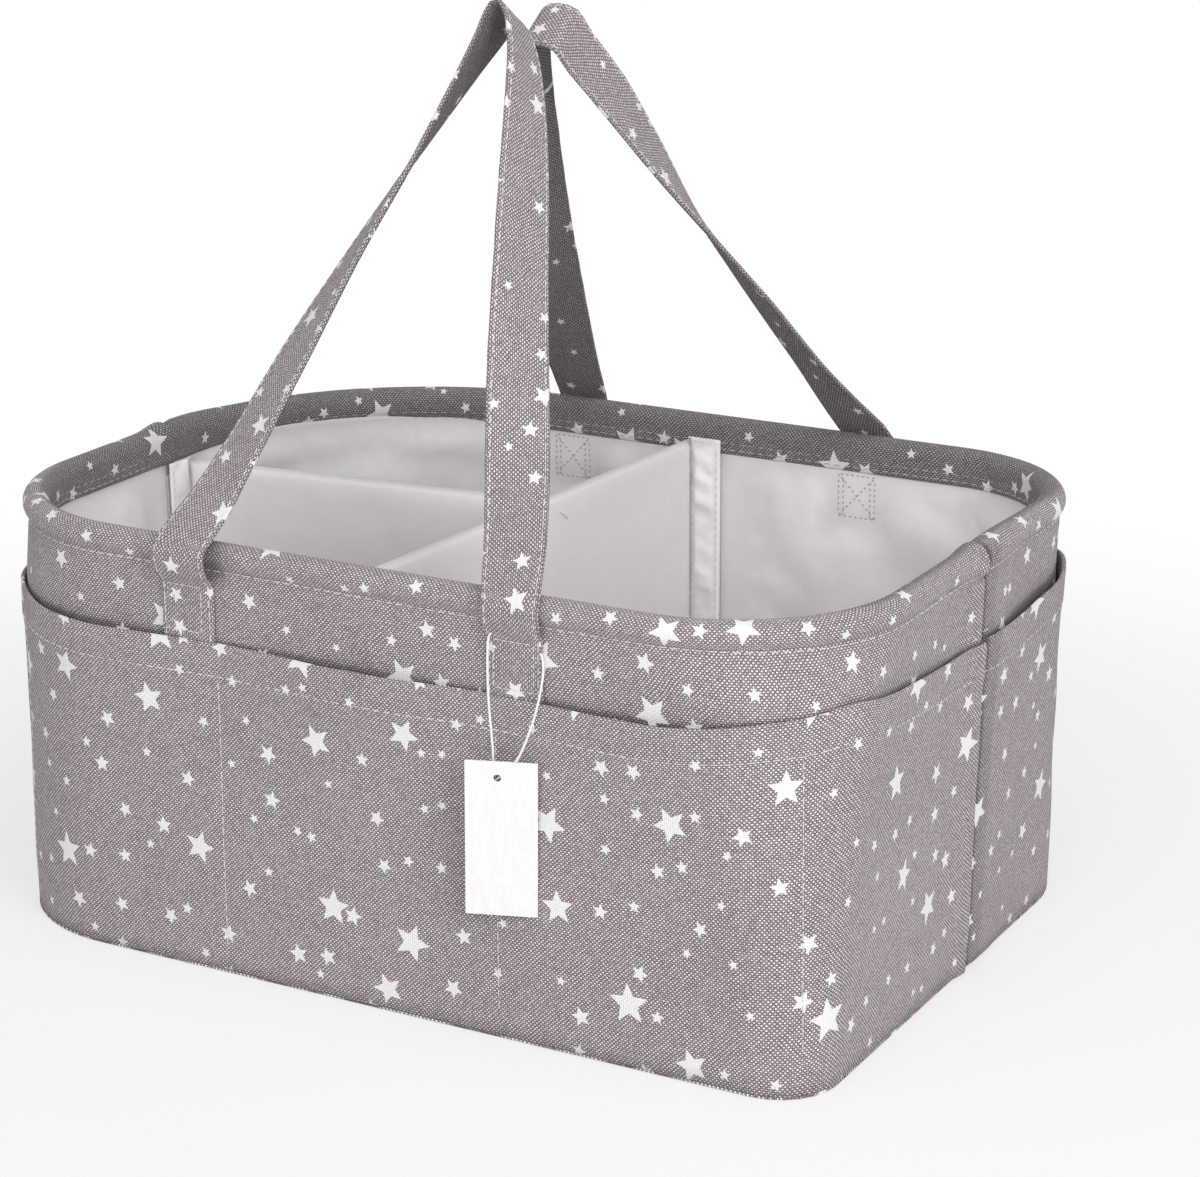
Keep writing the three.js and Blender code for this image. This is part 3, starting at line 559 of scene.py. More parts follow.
def stitches(name, lines, material, length=None, gap=None, radius=None):
    """Rows of short threads, each let a little into the cloth at both ends."""
    length = length or setting("stitch_length")
    gap = gap if gap is not None else setting("stitch_gap")
    radius = radius or setting("stitch_radius")
    cuts, sides = STITCH_CUTS, STITCH_SIDES
    points, faces, uvs = [], [], []
    for line in lines:
        pitch = (length + gap) / cuts
        run = resample(line, pitch)
        used = max(2, round(cuts * length / (length + gap))) + 1
        for first in range(0, len(run) - used + 1, cuts):
            thread = run[first:first + used]
            base = len(points)
            for i, (place, normal) in enumerate(thread):
                ahead = thread[min(i + 1, used - 1)][0] - thread[max(i - 1, 0)][0]
                if ahead.length < 1e-6:
                    continue
                ahead.normalize()
                side = ahead.cross(normal).normalized()
                end = abs(2 * i / (used - 1) - 1)
                lift = radius * (0.3 - STITCH_SINK * end**4)
                thick = radius * (1 - 0.45 * end**3)
                for k in range(sides):
                    turn = 2 * math.pi * k / sides
                    up, over = lift + thick * math.sin(turn), thick * math.cos(turn)
                    points.append(place + normal * up + side * over)
            rings = (len(points) - base) // sides
            for i in range(rings - 1):
                for k in range(sides):
                    n = (k + 1) % sides
                    a = base + i * sides
                    faces.append((a + k, a + n, a + sides + n, a + sides + k))
                    uvs.append(((i, k), (i, k + 1), (i + 1, k + 1), (i + 1, k)))
            far = base + (rings - 1) * sides
            for start, order in ((base, range(sides - 1, -1, -1)), (far, range(sides))):
                faces.append(tuple(start + k for k in order))
                uvs.append(tuple((0, k) for k in order))
    if not faces:
        raise RuntimeError(f"{name}: its rows are too short for one stitch")
    piece = new_mesh(name, points, faces, uvs, material)
    fix_facing(piece)
    return piece


# --- Node groups and materials ---
class Nodes:
    """A short way to write shader nodes."""

    def __init__(self, tree):
        self.tree = tree

    def add(self, kind, **values):
        node = self.tree.nodes.new(kind)
        for key, value in values.items():
            setattr(node, key, value)
        return node

    def feed(self, socket, value):
        if isinstance(value, bpy.types.NodeSocket):
            self.tree.links.new(value, socket)
        elif value is not None:
            socket.default_value = value

    def math(self, operation, a, b=None, c=None, clamp=False):
        node = self.add("ShaderNodeMath", operation=operation, use_clamp=clamp)
        for socket, value in zip(node.inputs, (a, b, c)):
            self.feed(socket, value)
        return node.outputs[0]

    def plus(self, a, b):
        return self.math("ADD", a, b)

    def minus(self, a, b):
        return self.math("SUBTRACT", a, b)

    def times(self, a, b):
        return self.math("MULTIPLY", a, b)

    def vector(self, operation, a, b=None, scale=None):
        node = self.add("ShaderNodeVectorMath", operation=operation)
        self.feed(node.inputs[0], a)
        self.feed(node.inputs[1], b)
        if scale is not None:
            self.feed(node.inputs["Scale"], scale)
        return node.outputs[0]

    def split(self, vector):
        node = self.add("ShaderNodeSeparateXYZ")
        self.feed(node.inputs[0], vector)
        return node.outputs[0], node.outputs[1]

    def join(self, x, y, z=0.0):
        node = self.add("ShaderNodeCombineXYZ")
        for socket, value in zip(node.inputs, (x, y, z)):
            self.feed(socket, value)
        return node.outputs[0]

    def mix(self, share, a, b, blend="MIX"):
        node = self.add("ShaderNodeMix", data_type="RGBA", blend_type=blend)
        self.feed(node.inputs[0], share)
        self.feed(node.inputs[6], a)
        self.feed(node.inputs[7], b)
        return node.outputs[2]

    def noise(self, vector, scale, detail=2.0, rough=0.5):
        node = self.add("ShaderNodeTexNoise")
        self.feed(node.inputs["Vector"], vector)
        node.inputs["Scale"].default_value = scale
        node.inputs["Detail"].default_value = detail
        node.inputs["Roughness"].default_value = rough
        return node.outputs["Fac"]

    def range(self, value, low, high, to_low=0.0, to_high=1.0, steps="LINEAR"):
        node = self.add("ShaderNodeMapRange", interpolation_type=steps)
        for socket, v in zip(node.inputs, (value, low, high, to_low, to_high)):
            self.feed(socket, v)
        return node.outputs[0]

    def group(self, tree, **inputs):
        node = self.add("ShaderNodeGroup", node_tree=tree)
        for key, value in inputs.items():
            self.feed(node.inputs[key.replace("_", " ")], value)
        return node.outputs

    def blend(self, share, a, b):
        """One shader fading to another."""
        node = self.add("ShaderNodeMixShader")
        for socket, value in zip(node.inputs, (share, a, b)):
            self.feed(socket, value)
        return node.outputs[0]

    def mask(self, name):
        """A mask that the mesh carries."""
        return self.add("ShaderNodeAttribute", attribute_name=name).outputs["Fac"]

    def place(self):
        """The place on the object itself."""
        return self.add("ShaderNodeTexCoord").outputs["Object"]

    def tinted(self, socket, colour, value, low, high):
        """Feeds a colour that a value of 0.3 to 0.7 makes darker or lighter."""
        level = self.range(value, 0.3, 0.7, low, high)
        self.feed(socket, self.mix(1.0, colour, self.join(level, level, level), "MULTIPLY"))

    def bump(self, height, strength, distance, normal=None):
        node = self.add("ShaderNodeBump")
        node.inputs["Strength"].default_value = strength
        node.inputs["Distance"].default_value = distance
        self.feed(node.inputs["Height"], height)
        self.feed(node.inputs["Normal"], normal)
        return node.outputs[0]


def new_group(name, inputs, outputs):
    """A node group with named sockets: inputs are (name, kind, default), outputs (name, kind)."""
    tree = bpy.data.node_groups.new(name, "ShaderNodeTree")
    for label, kind, default in inputs:
        socket = tree.interface.new_socket(name=label, in_out="INPUT", socket_type=kind)
        if default is not None:
            socket.default_value = default
    for label, kind in outputs:
        tree.interface.new_socket(name=label, in_out="OUTPUT", socket_type=kind)
    enter = tree.nodes.new("NodeGroupInput")
    leave = tree.nodes.new("NodeGroupOutput")
    return tree, Nodes(tree), enter.outputs, leave.inputs


VECTOR, FLOAT = "NodeSocketVector", "NodeSocketFloat"
STAR_NOTCH, STAR_BLUR, STAR_ROOM = 0.45, 0.00012, 0.02
BIG_SCATTER, SMALL_SCATTER = 0.75, 0.8
CREASE_DARK, FOLD_DARK = 0.28, 0.74
YARN_GAIN = 0.58


def weave_group():
    """Plain weave on the cloth's own coordinates: how high the threads stand, and how light each place is,
    with painted shade where the threads lie low.
    """
    tree, n, enter, leave = new_group(
        "Plain weave",
        [("Cloth", VECTOR, None), ("Pitch", FLOAT, 0.001)],
        [("Height", FLOAT), ("Light", FLOAT)],
    )
    slow = n.noise(enter["Cloth"], 45.0, 1.0)
    quick = n.noise(enter["Cloth"], 500.0, 1.0)
    drift = n.plus(n.times(slow, 3.0), n.times(quick, 0.5))
    shifted = n.vector("ADD", n.vector("SCALE", enter["Cloth"], scale=n.math("DIVIDE", 1.0, enter["Pitch"])),
        n.join(drift, n.times(drift, -0.7)))
    x, y = n.split(shifted)
    across_x = n.math("ABSOLUTE", n.math("SINE", n.times(x, math.pi)))
    across_y = n.math("ABSOLUTE", n.math("SINE", n.times(y, math.pi)))
    weft_turn = n.math("PINGPONG", n.plus(n.math("FLOOR", x), n.math("FLOOR", y)), 1.0)
    warp_turn = n.minus(1.0, weft_turn)
    weft = n.times(across_y, n.math("MULTIPLY_ADD", across_x, 0.5, 0.5))
    warp = n.times(across_x, n.math("MULTIPLY_ADD", across_y, 0.5, 0.5))
    height = n.plus(n.times(weft, weft_turn), n.times(warp, warp_turn))
    spot = n.add("ShaderNodeTexWhiteNoise", noise_dimensions="2D")
    n.feed(spot.inputs["Vector"], n.join(n.math("FLOOR", x), n.math("FLOOR", y)))
    # The low parts of each thread darken: painted shade between the threads. The chance tone of each thread
    # is its own.
    crown = n.range(height, 0.12, 0.85, 0.1, 1.0, "SMOOTHSTEP")
    system = n.math("MULTIPLY_ADD", weft_turn, 1.1, 0.5)
    chance = n.math("MULTIPLY_ADD", spot.outputs["Value"], 0.5, 0.75)
    n.feed(leave["Height"], height)
    n.feed(leave["Light"], n.times(n.times(crown, system), chance))
    return tree


def star_group():
    """One layer of five-pointed stars, one to a cell, each turned and sized by chance."""
    tree, n, enter, leave = new_group(
        "Star layer",
        [("Cloth", VECTOR, None), ("Spacing", FLOAT, 0.03), ("Smallest", FLOAT, 0.002),
         ("Biggest", FLOAT, 0.003), ("Scatter", FLOAT, 0.7), ("Seed", FLOAT, 0.0)],
        [("Mask", FLOAT), ("Place", VECTOR)],
    )
    moved = n.vector("ADD", enter["Cloth"], n.join(enter["Seed"], n.times(enter["Seed"], 0.61)))
    cells = n.add("ShaderNodeTexVoronoi", voronoi_dimensions="2D", feature="F1")
    n.feed(cells.inputs["Vector"], moved)
    n.feed(cells.inputs["Scale"], n.math("DIVIDE", 1.0, enter["Spacing"]))
    n.feed(cells.inputs["Randomness"], enter["Scatter"])
    chance = n.add("ShaderNodeSeparateColor")
    n.feed(chance.inputs[0], cells.outputs["Color"])
    place = n.vector("SUBTRACT", moved, cells.outputs["Position"])
    x, y = n.split(place)
    radius = n.math("SQRT", n.plus(n.times(x, x), n.times(y, y)))
    turn = n.plus(n.math("ARCTAN2", y, x), n.times(chance.outputs[0], 2 * math.pi))
    fifth = n.math("FRACT", n.plus(n.math("DIVIDE", turn, math.radians(72)), 10.5))
    fold = n.times(n.math("ABSOLUTE", n.minus(fifth, 0.5)), math.radians(72))
    size = n.plus(enter["Smallest"], n.times(
        n.math("POWER", chance.outputs[1], 1.6), n.minus(enter["Biggest"], enter["Smallest"])))
    tip_x = n.times(radius, n.math("COSINE", fold))
    tip_y = n.times(radius, n.math("SINE", fold))
    notch_x = STAR_NOTCH * math.cos(math.radians(36)) - 1
    notch_y = STAR_NOTCH * math.sin(math.radians(36))
    edge = math.hypot(notch_x, notch_y)
    inward = n.minus(n.times(tip_y, notch_x / edge),
        n.times(n.minus(tip_x, size), notch_y / edge))
    n.feed(leave["Mask"], n.range(inward, -STAR_BLUR, STAR_BLUR, steps="SMOOTHSTEP"))
    n.feed(leave["Place"], n.vector("SUBTRACT", cells.outputs["Position"],
        n.join(enter["Seed"], n.times(enter["Seed"], 0.61))))
    return tree


def mottle_group():
    """Slow and quick unevenness of a cloth's colour, from its own coordinates."""
    tree, n, enter, leave = new_group("Cloth mottle", [("Cloth", VECTOR, None)], [("Tone", FLOAT)])
    slow = n.noise(enter["Cloth"], 14.0, 3.0)
    quick = n.noise(enter["Cloth"], 160.0, 2.0)
    n.feed(leave["Tone"], n.plus(n.times(slow, 0.65), n.times(quick, 0.35)))
    return tree


def new_material(name):
    """A material with its node writer and its shader."""
    material = bpy.data.materials.new(name)
    material.use_nodes = True
    shader = material.node_tree.nodes["Principled BSDF"]
    return material, Nodes(material.node_tree), shader


def set_inputs(shader, values):
    """Sets some of a shader's inputs by their names."""
    for name, value in values.items():
        shader.inputs[name].default_value = value


def cloth_map(n):
    """The place on the cloth, in metres."""
    return n.add("ShaderNodeUVMap", uv_map="Cloth").outputs[0]


def canvas_material(name, groups, seed, tint=1.0, big=1.0):
    """Printed canvas. The inside mask paints shade on its inner side, with darker yarn, gaps and stars there;
    the shade mask paints shade in creases and hollows.
    """
    look = bpy.context.scene.caddy_finish
    material, n, shader = new_material(name)
    cloth = cloth_map(n)
    weave = n.group(groups["weave"], Cloth=cloth, Pitch=look.weave)
    tone = n.group(groups["mottle"], Cloth=cloth)["Tone"]
    # The inside mask paints shade on the canvas's inner side.
    inside = n.mask("inside")
    light = n.times(weave["Light"], n.range(tone, 0.3, 0.7, 0.93, 1.07))
    share = n.math("MULTIPLY", light, YARN_GAIN, clamp=True)
    base = n.mix(inside, n.mix(share, tuple(look.gap_shade), tuple(look.yarn)),
        n.mix(share, tuple(look.inner_shade_gap), tuple(look.inner_shade_yarn)))
    shade = n.mask("shade")
    level = n.range(shade, 0.0, 1.0, tint, CREASE_DARK * tint)
    base = n.mix(1.0, base, n.join(level, level, level), "MULTIPLY")
    big = n.group(groups["star"], Cloth=cloth, Spacing=look.big_spacing, Smallest=look.big_star * 0.8 * big,
        Biggest=look.big_star * big, Scatter=BIG_SCATTER, Seed=seed)
    small = n.group(groups["star"], Cloth=cloth, Spacing=look.small_spacing, Smallest=look.small_star * 0.8,
        Biggest=look.small_star * 1.75, Scatter=SMALL_SCATTER, Seed=seed + 3.3)
    near = n.group(groups["star"], Cloth=small["Place"], Spacing=look.big_spacing, Smallest=STAR_ROOM,
        Biggest=STAR_ROOM, Scatter=BIG_SCATTER, Seed=seed)
    clear = n.minus(1.0, n.math("GREATER_THAN", near["Mask"], 0.3))
    stars = n.math("MAXIMUM", big["Mask"], n.times(small["Mask"], clear))
    # The print thins where the threads lie low, and the painted shade of the gaps shows through it.
    star_cover = n.times(stars, n.range(weave["Height"], 0.0, 0.3, 0.8, 1.0))
    star = n.mix(inside, tuple(look.star), tuple(look.inner_shade_star))
    n.feed(shader.inputs["Base Color"], n.mix(star_cover, base, star))
    set_inputs(shader, {"Roughness": 0.92, "Specular IOR Level": 0.2})
    set_inputs(shader, {"Sheen Weight": 0.12, "Sheen Roughness": 0.6})
    height = n.minus(weave["Height"], n.times(stars, 0.25))
    n.feed(shader.inputs["Normal"], n.bump(height, 0.55, 0.0004))
    return material


def lining_material(name, groups, shade=1.0):
    """Smooth lining with soft crinkles. The shade mask paints shade in creases and puckers; shade sets the
    whole colour lighter or darker.
    """
    look = bpy.context.scene.caddy_finish
    material, n, shader = new_material(name)
    cloth = cloth_map(n)
    tone = n.group(groups["mottle"], Cloth=cloth)["Tone"]
    colour = tuple(c * shade for c in look.lining[:3]) + (1.0,)
    fold = n.mask("shade")
    level = n.times(n.range(tone, 0.25, 0.75, 0.95, 1.05), n.range(fold, 0.0, 1.0, 1.0, FOLD_DARK))
    n.feed(shader.inputs["Base Color"], n.mix(1.0, colour, n.join(level, level, level), "MULTIPLY"))
    n.feed(shader.inputs["Roughness"], n.range(tone, 0.3, 0.7, 0.42, 0.56))
    set_inputs(shader, {"Specular IOR Level": 0.35, "Sheen Weight": 0.1})
    weave = n.group(groups["weave"], Cloth=cloth, Pitch=0.0004)
    soft = n.bump(n.noise(cloth, 38.0, 3.0, 0.55), 0.35, 0.0022)
    n.feed(shader.inputs["Normal"], n.bump(weave["Height"], 0.12, 0.0001, soft))
    return material


def thread_material(name, tint):
    """Sewing thread with a faint twist."""
    material, n, shader = new_material(name)
    place = n.place()
    tone = n.noise(place, 900.0, 2.0)
    n.tinted(shader.inputs["Base Color"], tint, tone, 0.88, 1.05)
    shader.inputs["Roughness"].default_value = 0.6
    n.feed(shader.inputs["Normal"], n.bump(tone, 0.4, 0.0002))
    return material


def pile_material(name, tint):
    """Hook and loop tape: a dull felted pile."""
    material, n, shader = new_material(name)
    place = n.place()
    pile = n.noise(place, 1500.0, 3.0, 0.7)
    n.tinted(shader.inputs["Base Color"], tint, pile, 0.7, 1.15)
    shader.inputs["Roughness"].default_value = 0.95
    n.feed(shader.inputs["Normal"], n.bump(pile, 0.8, 0.0006))
    return material


def board_material(name, tint, grain):
    """Padding board or card: faint fibres and a soft mottle."""
    material, n, shader = new_material(name)
    place = n.place()
    fibre = n.noise(n.vector("MULTIPLY", place, (1.0, 1.0, 0.25)), grain, 4.0, 0.6)
    n.tinted(shader.inputs["Base Color"], tint, fibre, 0.95, 1.03)
    n.feed(shader.inputs["Roughness"], n.range(fibre, 0.3, 0.7, 0.6, 0.75))
    n.feed(shader.inputs["Normal"], n.bump(fibre, 0.15, 0.0002))
    return material


FINISHES = {}


def materials():
    """Builds every finish once and keeps it by name."""
    if not FINISHES:
        look = bpy.context.scene.caddy_finish
        groups = {"weave": weave_group(), "star": star_group(), "mottle": mottle_group()}
        FINISHES.update(
            walls=canvas_material("Canvas walls", groups, 1.7),
            pockets=canvas_material("Canvas pockets", groups, 7.9),
            # The straps' canvas is a darker copy of the walls' canvas: painted shade. Their big stars are
            # printed smaller.
            straps=canvas_material("Canvas straps", groups, 4.15, 0.95, 0.66),
            base=canvas_material("Canvas base", groups, 12.6),
            lining=lining_material("Lining", groups),
            divider=lining_material("Divider cloth", groups),
            # The flap is a lighter copy of the lining: painted light.
            flap=lining_material("Divider flap", groups, 1.14),
            thread=thread_material("Sewing thread", tuple(look.thread)),
            dull_thread=thread_material("Dull thread", tuple(look.dull_thread)),
            hidden_thread=thread_material("Under thread", tuple(look.hidden_thread)),
            flap_thread=thread_material("Flap thread", tuple(0.8 * c for c in look.lining[:3]) + (1.0,)),
            string=thread_material("Tag string", tuple(look.string)),
            tape=pile_material("Hook and loop tape", (0.62, 0.6, 0.61, 1.0)),
            board=board_material("Padding board", (0.86, 0.85, 0.81, 1.0), 260.0),
            card=board_material("Tag card", tuple(look.card), 700.0),
        )
    return FINISHES


# --- Canvas walls ---
def arc(radius, start, count):
    """Points of the roll's section, from its outer side over the top to its inner side."""
    out = []
    for i in range(count + 1):
        angle = start * (1 - i / count)
        out.append((ROLL_INSET + radius * math.cos(angle), ROLL_HEIGHT + radius * math.sin(angle), angle))
    return out


def shell_section():
    """The walls' section: inset, height, angle round the roll, and the way that its face looks. The flat
    wall below the roll has WALL_ANGLE, a little past the roll's outermost point."""
    inner = ROLL_RADIUS - CANVAS
    outer_start = math.pi + math.acos(ROLL_INSET / ROLL_RADIUS)
    inner_start = math.pi + math.acos((ROLL_INSET - CANVAS) / inner)
    section = [(0, h, WALL_ANGLE, -1, 0) for h in steps_between(FOOT, POCKET_HEIGHT - 8, 6.5)]
    section += [(0, h, WALL_ANGLE, -1, 0) for h in steps_between(POCKET_HEIGHT - 6, ROLL_START - 3, 1.6)]
    section += [(p, q, a, math.cos(a), math.sin(a)) for p, q, a in arc(ROLL_RADIUS, outer_start, 16)]
    section += [(ROLL_RIM, h, 0, 1, 0) for h in steps_between(ROLL_START, HEM_HEIGHT + 0.5, 2)]
    section += [(ROLL_RIM - CANVAS / 2, HEM_HEIGHT, 0, 1, 0), (ROLL_RIM - CANVAS, HEM_HEIGHT + 0.5, 0, 0, 0),
        (ROLL_RIM - CANVAS, ROLL_START, 0, 0, 0)]
    section += [(p, q, a, 0, 0) for p, q, a in reversed(arc(inner, inner_start, 8))]
    section += [(CANVAS, h, WALL_ANGLE, 0, 0) for h in steps_between(POCKET_TOP, FOOT, 25)]
    return section


def strap_shadow(point):
    """The dark hollow between the left strap and the rim that it stands off."""
    beside = on_side("front", STRAP_PLACES["front_left"] + STRAP_WIDTH / 2 + 1)
    edge = wall_point(beside, 0, STRAP_BOX_HIGH + 10)
    return 0.85 * math.exp(-(((point.x - edge.x) / 4.5) ** 2) - ((point.z - edge.z) / 8) ** 2)


def build_shell(half):
    """One half of the walls' canvas, up the wall, over the roll and down inside to its hem."""
    stations = half_outline(half, fine_ends=True)
    run = distances(stations)
    section = shell_section()
    across = section_lengths([entry[:2] for entry in section])
    rings, inside, shade = [], [], []
    for station, at in zip(stations, run):
        lift = seam_lift(half, at, run[-1])
        over = over_seam(half, at, run[-1])
        crease = seam_shade(half, at, run[-1])
        facing = outward(station)
        top = pocket_top(half, at)
        # Painted shade on the roll's inner side, by the inside mask: on the front half it starts below the
        # roll's top, on the back half it reaches over the top.
        threshold = 1.25 + 0.95 * smooth(0.5 + 0.9 * facing.y)
        ring = []
        for inset, height, angle, face_in, face_up in section:
            bare = wall_point(station, 0, height)
            out = swell_at(bare) * (1 if height < ROLL_START else 0.6)
            raised = lift * (1 if angle > 3.2 else lerp(0.4, 0.85, smooth(angle / 3)))
            drop = RIM_HEIGHT - RIM_STITCH_DROP - height
            sunk = 0.3 * math.exp(-((drop / 1.5) ** 2)) if angle > 2.6 else 0
            point = wall_point(station, inset - out + face_in * (raised - sunk), height + face_up * raised)
            point.y += over if face_in or face_up else 0
            ring.append(point)
            inside.append(1 - smooth((angle - threshold + 0.25) / 0.5))
            covered = (top + POCKET_SHADE_RISE - height) / POCKET_SHADE_FADE
            behind = POCKET_SHADE * smooth(covered) if face_in else 0
            behind = max(behind, strap_shadow(bare)) if half == "front" else behind
            shade.append(max(crease * smooth((angle - 1) / 1.5), behind))
        rings.append(ring)
    piece = sweep(f"canvas_{half}", rings, run, across, materials()["walls"], inside, shade,
        offset=(0 if half == "front" else 900, 0))
    finish(piece, "caddy", [f"shell_{half}"])


def row_along(half, inset, height_at):
    """A row of (point, normal) along a half of the walls, at an inset and a height by distance."""
    stations = half_outline(half, 3.0)
    run = distances(stations)
    out = []
    for station, at in zip(stations, run):
        if at < ROW_TRIM or at > run[-1] - ROW_TRIM:
            continue
        height = height_at(at)
        lift = cloth_lift(half, station, at, run[-1], height)
        out.append((wall_point(station, inset - lift, height), outward(station)))
    return out


@lru_cache(maxsize=None)
def pocket_runs(half):
    """The distances along a half at which its pocket panel is sewn down, and those of its corners."""
    parts = [run_pieces(half, part, POCKET_HEIGHT) for part in range(3)]
    lengths = [sum(piece[-1] for piece in pieces) for pieces in parts]
    total = sum(lengths)
    first = parts[0][0][-1] + parts[0][1][-1] / 2
    last = total - parts[2][2][-1] - parts[2][1][-1] / 2
    return [0.0, first, lengths[0], lengths[0] + lengths[1], last, total], (first, last)


def pocket_slack(half, at):
    """How far the pocket's edge stands off at a distance along the half."""
    sewn = pocket_runs(half)[0]
    for i, (low, high) in enumerate(zip(sewn, sewn[1:])):
        if low <= at <= high:
            on_face = 0 < i < len(sewn) - 2
            gape = setting("pocket_gape") if on_face else setting("side_gape") * SIDE_GAPE_SHARE[half]
            return 0.5 + gape * math.sin(math.pi * (at - low) / (high - low)) ** 1.6
    return 0.0


def pocket_top(half, at):
    """The height of the pocket's edge, which climbs to its corners and stays a little high beyond them."""
    wave = 0.4 * noise.noise(Vector((at / 30, 3.1, 0)))
    rise = 0.0
    for corner, way in zip(pocket_runs(half)[1], (-1, 1)):
        beyond = way * (at - corner)
        peak = POCKET_RISE if half == "back" or way > 0 else 1.5
        before = smooth(1 + min(beyond, 0) / POCKET_REACH) ** 2
        after = 0.25 + 0.75 * smooth(1 - (beyond - 18) / 110) + 0.35 * math.exp(-(((beyond - 22) / 16) ** 2))
        rise = max(rise, peak * (before if beyond < 0 else after))
    return POCKET_HEIGHT + rise + wave


def build_pocket(half):
    """One half's pocket panel, which gapes between the places where it is sewn down."""
    stations = half_outline(half, 4.0, fine_ends=True)
    run = distances(stations)
    sewn = pocket_runs(half)[0]
    levels = [i / POCKET_LEVELS for i in range(POCKET_LEVELS + 1)]
    rings, shade, across = [], [], None
    for station, at in zip(stations, run):
        top = pocket_top(half, at)
        slack = pocket_slack(half, at)
        lift = seam_lift(half, at, run[-1])
        over = Vector((0, over_seam(half, at, run[-1]), 0))
        pinch = 0.35 * sum(math.exp(-(((at - s) / 3.5) ** 2)) for s in sewn[1:-1])
        inner, outer = [], []
        for level in levels:
            height = lerp(FOOT, top, level)
            share = max(0, 1 - (top - height) / GAPE_DEPTH)
            stand = slack * share**1.5
            bare = wall_point(station, 0, height)
            out = swell_at(bare) + lift + GAP + stand
            hem = 0.7 * smooth((height - top + POCKET_HEM + 1.5) / 1.6)
            drape = 0.35 * noise.noise(Vector((at / 16, height / 26, 5.2))) * smooth((top - height) / 8)
            inner.append((-out, height))
            outer.append((-out - CANVAS - hem - drape + pinch, height))
        lip = (inner[-1][0] + outer[-1][0]) / 2
        section = [*inner, (lip, top + 0.75), *outer[::-1]]
        across = across or section_lengths(section)
        shade += [seam_shade(half, at, run[-1])] * len(section)
        rings.append([wall_point(station, inset, height) + over for inset, height in section])
    piece = sweep(f"pocket_{half}", rings, run, across, materials()["pockets"], [0.0] * len(shade), shade,
        offset=(0 if half == "front" else 700, 0))
    finish(piece, "caddy", [f"pocket_panel_{half}"])


def build_base():
    """The bottom panel, with its edge turned up a little into the seam round the walls."""
    edge = [wall_point(station, -CANVAS - GAP, 0) for station in whole_outline()]
    piece = flat_panel("canvas_base", edge, (0.25, 0.5, 0.72, 0.88, 0.97, 1.0), ((0, 0.35), (CANVAS, CANVAS)),
        materials()["base"])
    finish(piece, "caddy", ["base_panel"])


class CADDY_OT_walls(bpy.types.Operator):
    """Builds the canvas walls, their rolled rim and the base"""

    bl_idname = "caddy.walls"
    bl_label = "Canvas walls"

    def execute(self, context):
        for half in ("front", "back"):
            build_shell(half)
        build_base()
        rows = []
        level = RIM_HEIGHT - RIM_STITCH_DROP
        for half in ("front", "back"):
            rows.append(row_along(half, 0.2, lambda at: level + 0.4 * math.sin(at / 33)))
        sew("rim_stitches", rows)
        inner = []
        for half in ("front", "back"):
            for rise in HEM_STITCH_RISES:
                row = row_along(half, ROLL_RIM, lambda at, h=HEM_HEIGHT + rise: h)
                inner.append([(p, -normal) for p, normal in row])
        # The hem's rows lie on the roll's inner side and take the darker thread: painted shade.
        sew("hem_stitches", inner, "dull_thread")
        return {"FINISHED"}


def pocket_face(half, at, drop):
    """The height, and the stand off the wall, of the pocket's face so far along and below its edge."""
    slack = pocket_slack(half, at) * max(0, 1 - drop / GAPE_DEPTH) ** 1.5
    return pocket_top(half, at) - drop, GAP + CANVAS + slack


def pocket_rows(half, stations, run):
    """The row round the pocket's hem, and the upright rows that part it."""
    hem = []
    for station, at in zip(stations, run):
        if ROW_TRIM < at < run[-1] - ROW_TRIM:
            height, stand = pocket_face(half, at, POCKET_HEM)
            lift = cloth_lift(half, station, at, run[-1], height)
            hem.append((wall_point(station, -stand - lift - 0.55, height), outward(station)))
    rows = [hem]
    for at in pocket_runs(half)[0][1:-1]:
        station = nearest(stations, run, at)
        line = []
        for drop in steps_between(1, POCKET_HEIGHT - 12, 4):
            height, stand = pocket_face(half, at, drop)
            lift = swell_at(wall_point(station, 0, height))
            line.append((wall_point(station, -stand - lift + 0.1, height), outward(station)))
        rows.append(line)
    return rows


def pocket_bartacks(half, stations, run):
    """Short bars beside the side seams, over and under the pocket's edge."""
    away = 5 if half == "front" else 9
    along = Vector((0, 3.5, 0))
    bars = []
    for at in (away, run[-1] - away):
        station = nearest(stations, run, at)
        for drop, layer in ((-3, 0), (16, GAP + CANVAS)):
            height = pocket_top(half, at) - drop
            lift = cloth_lift(half, station, at, run[-1], height)
            place = wall_point(station, -layer - lift - 0.1, height)
            bars.append([(place - along, outward(station)), (place + along, outward(station))])
    return bars


def nearest(stations, run, at):
    """The station next to a distance."""
    return stations[min(range(len(run)), key=lambda i: abs(run[i] - at))]


class CADDY_OT_pockets(bpy.types.Operator):
    """Builds the outside pockets and their stitching"""

    bl_idname = "caddy.pockets"
    bl_label = "Outside pockets"

    def execute(self, context):
        rows, bars = [], []
        for half in ("front", "back"):
            build_pocket(half)
            stations = half_outline(half, 2.5)
            run = distances(stations)
            rows += pocket_rows(half, stations, run)
            bars += pocket_bartacks(half, stations, run)
        sew("pocket_stitches", rows)
        sew("seam_bartacks", bars, length=6, gap=0.5)
        return {"FINISHED"}


# --- Straps ---
def strap_bend(side):
    """How far a handle leans in from upright, in radians."""
    _, y, height, _ = APEX[side]
    return math.atan2(abs(y - OUT[side] * RIM_WIDTH / 2), height - ROLL_HEIGHT)


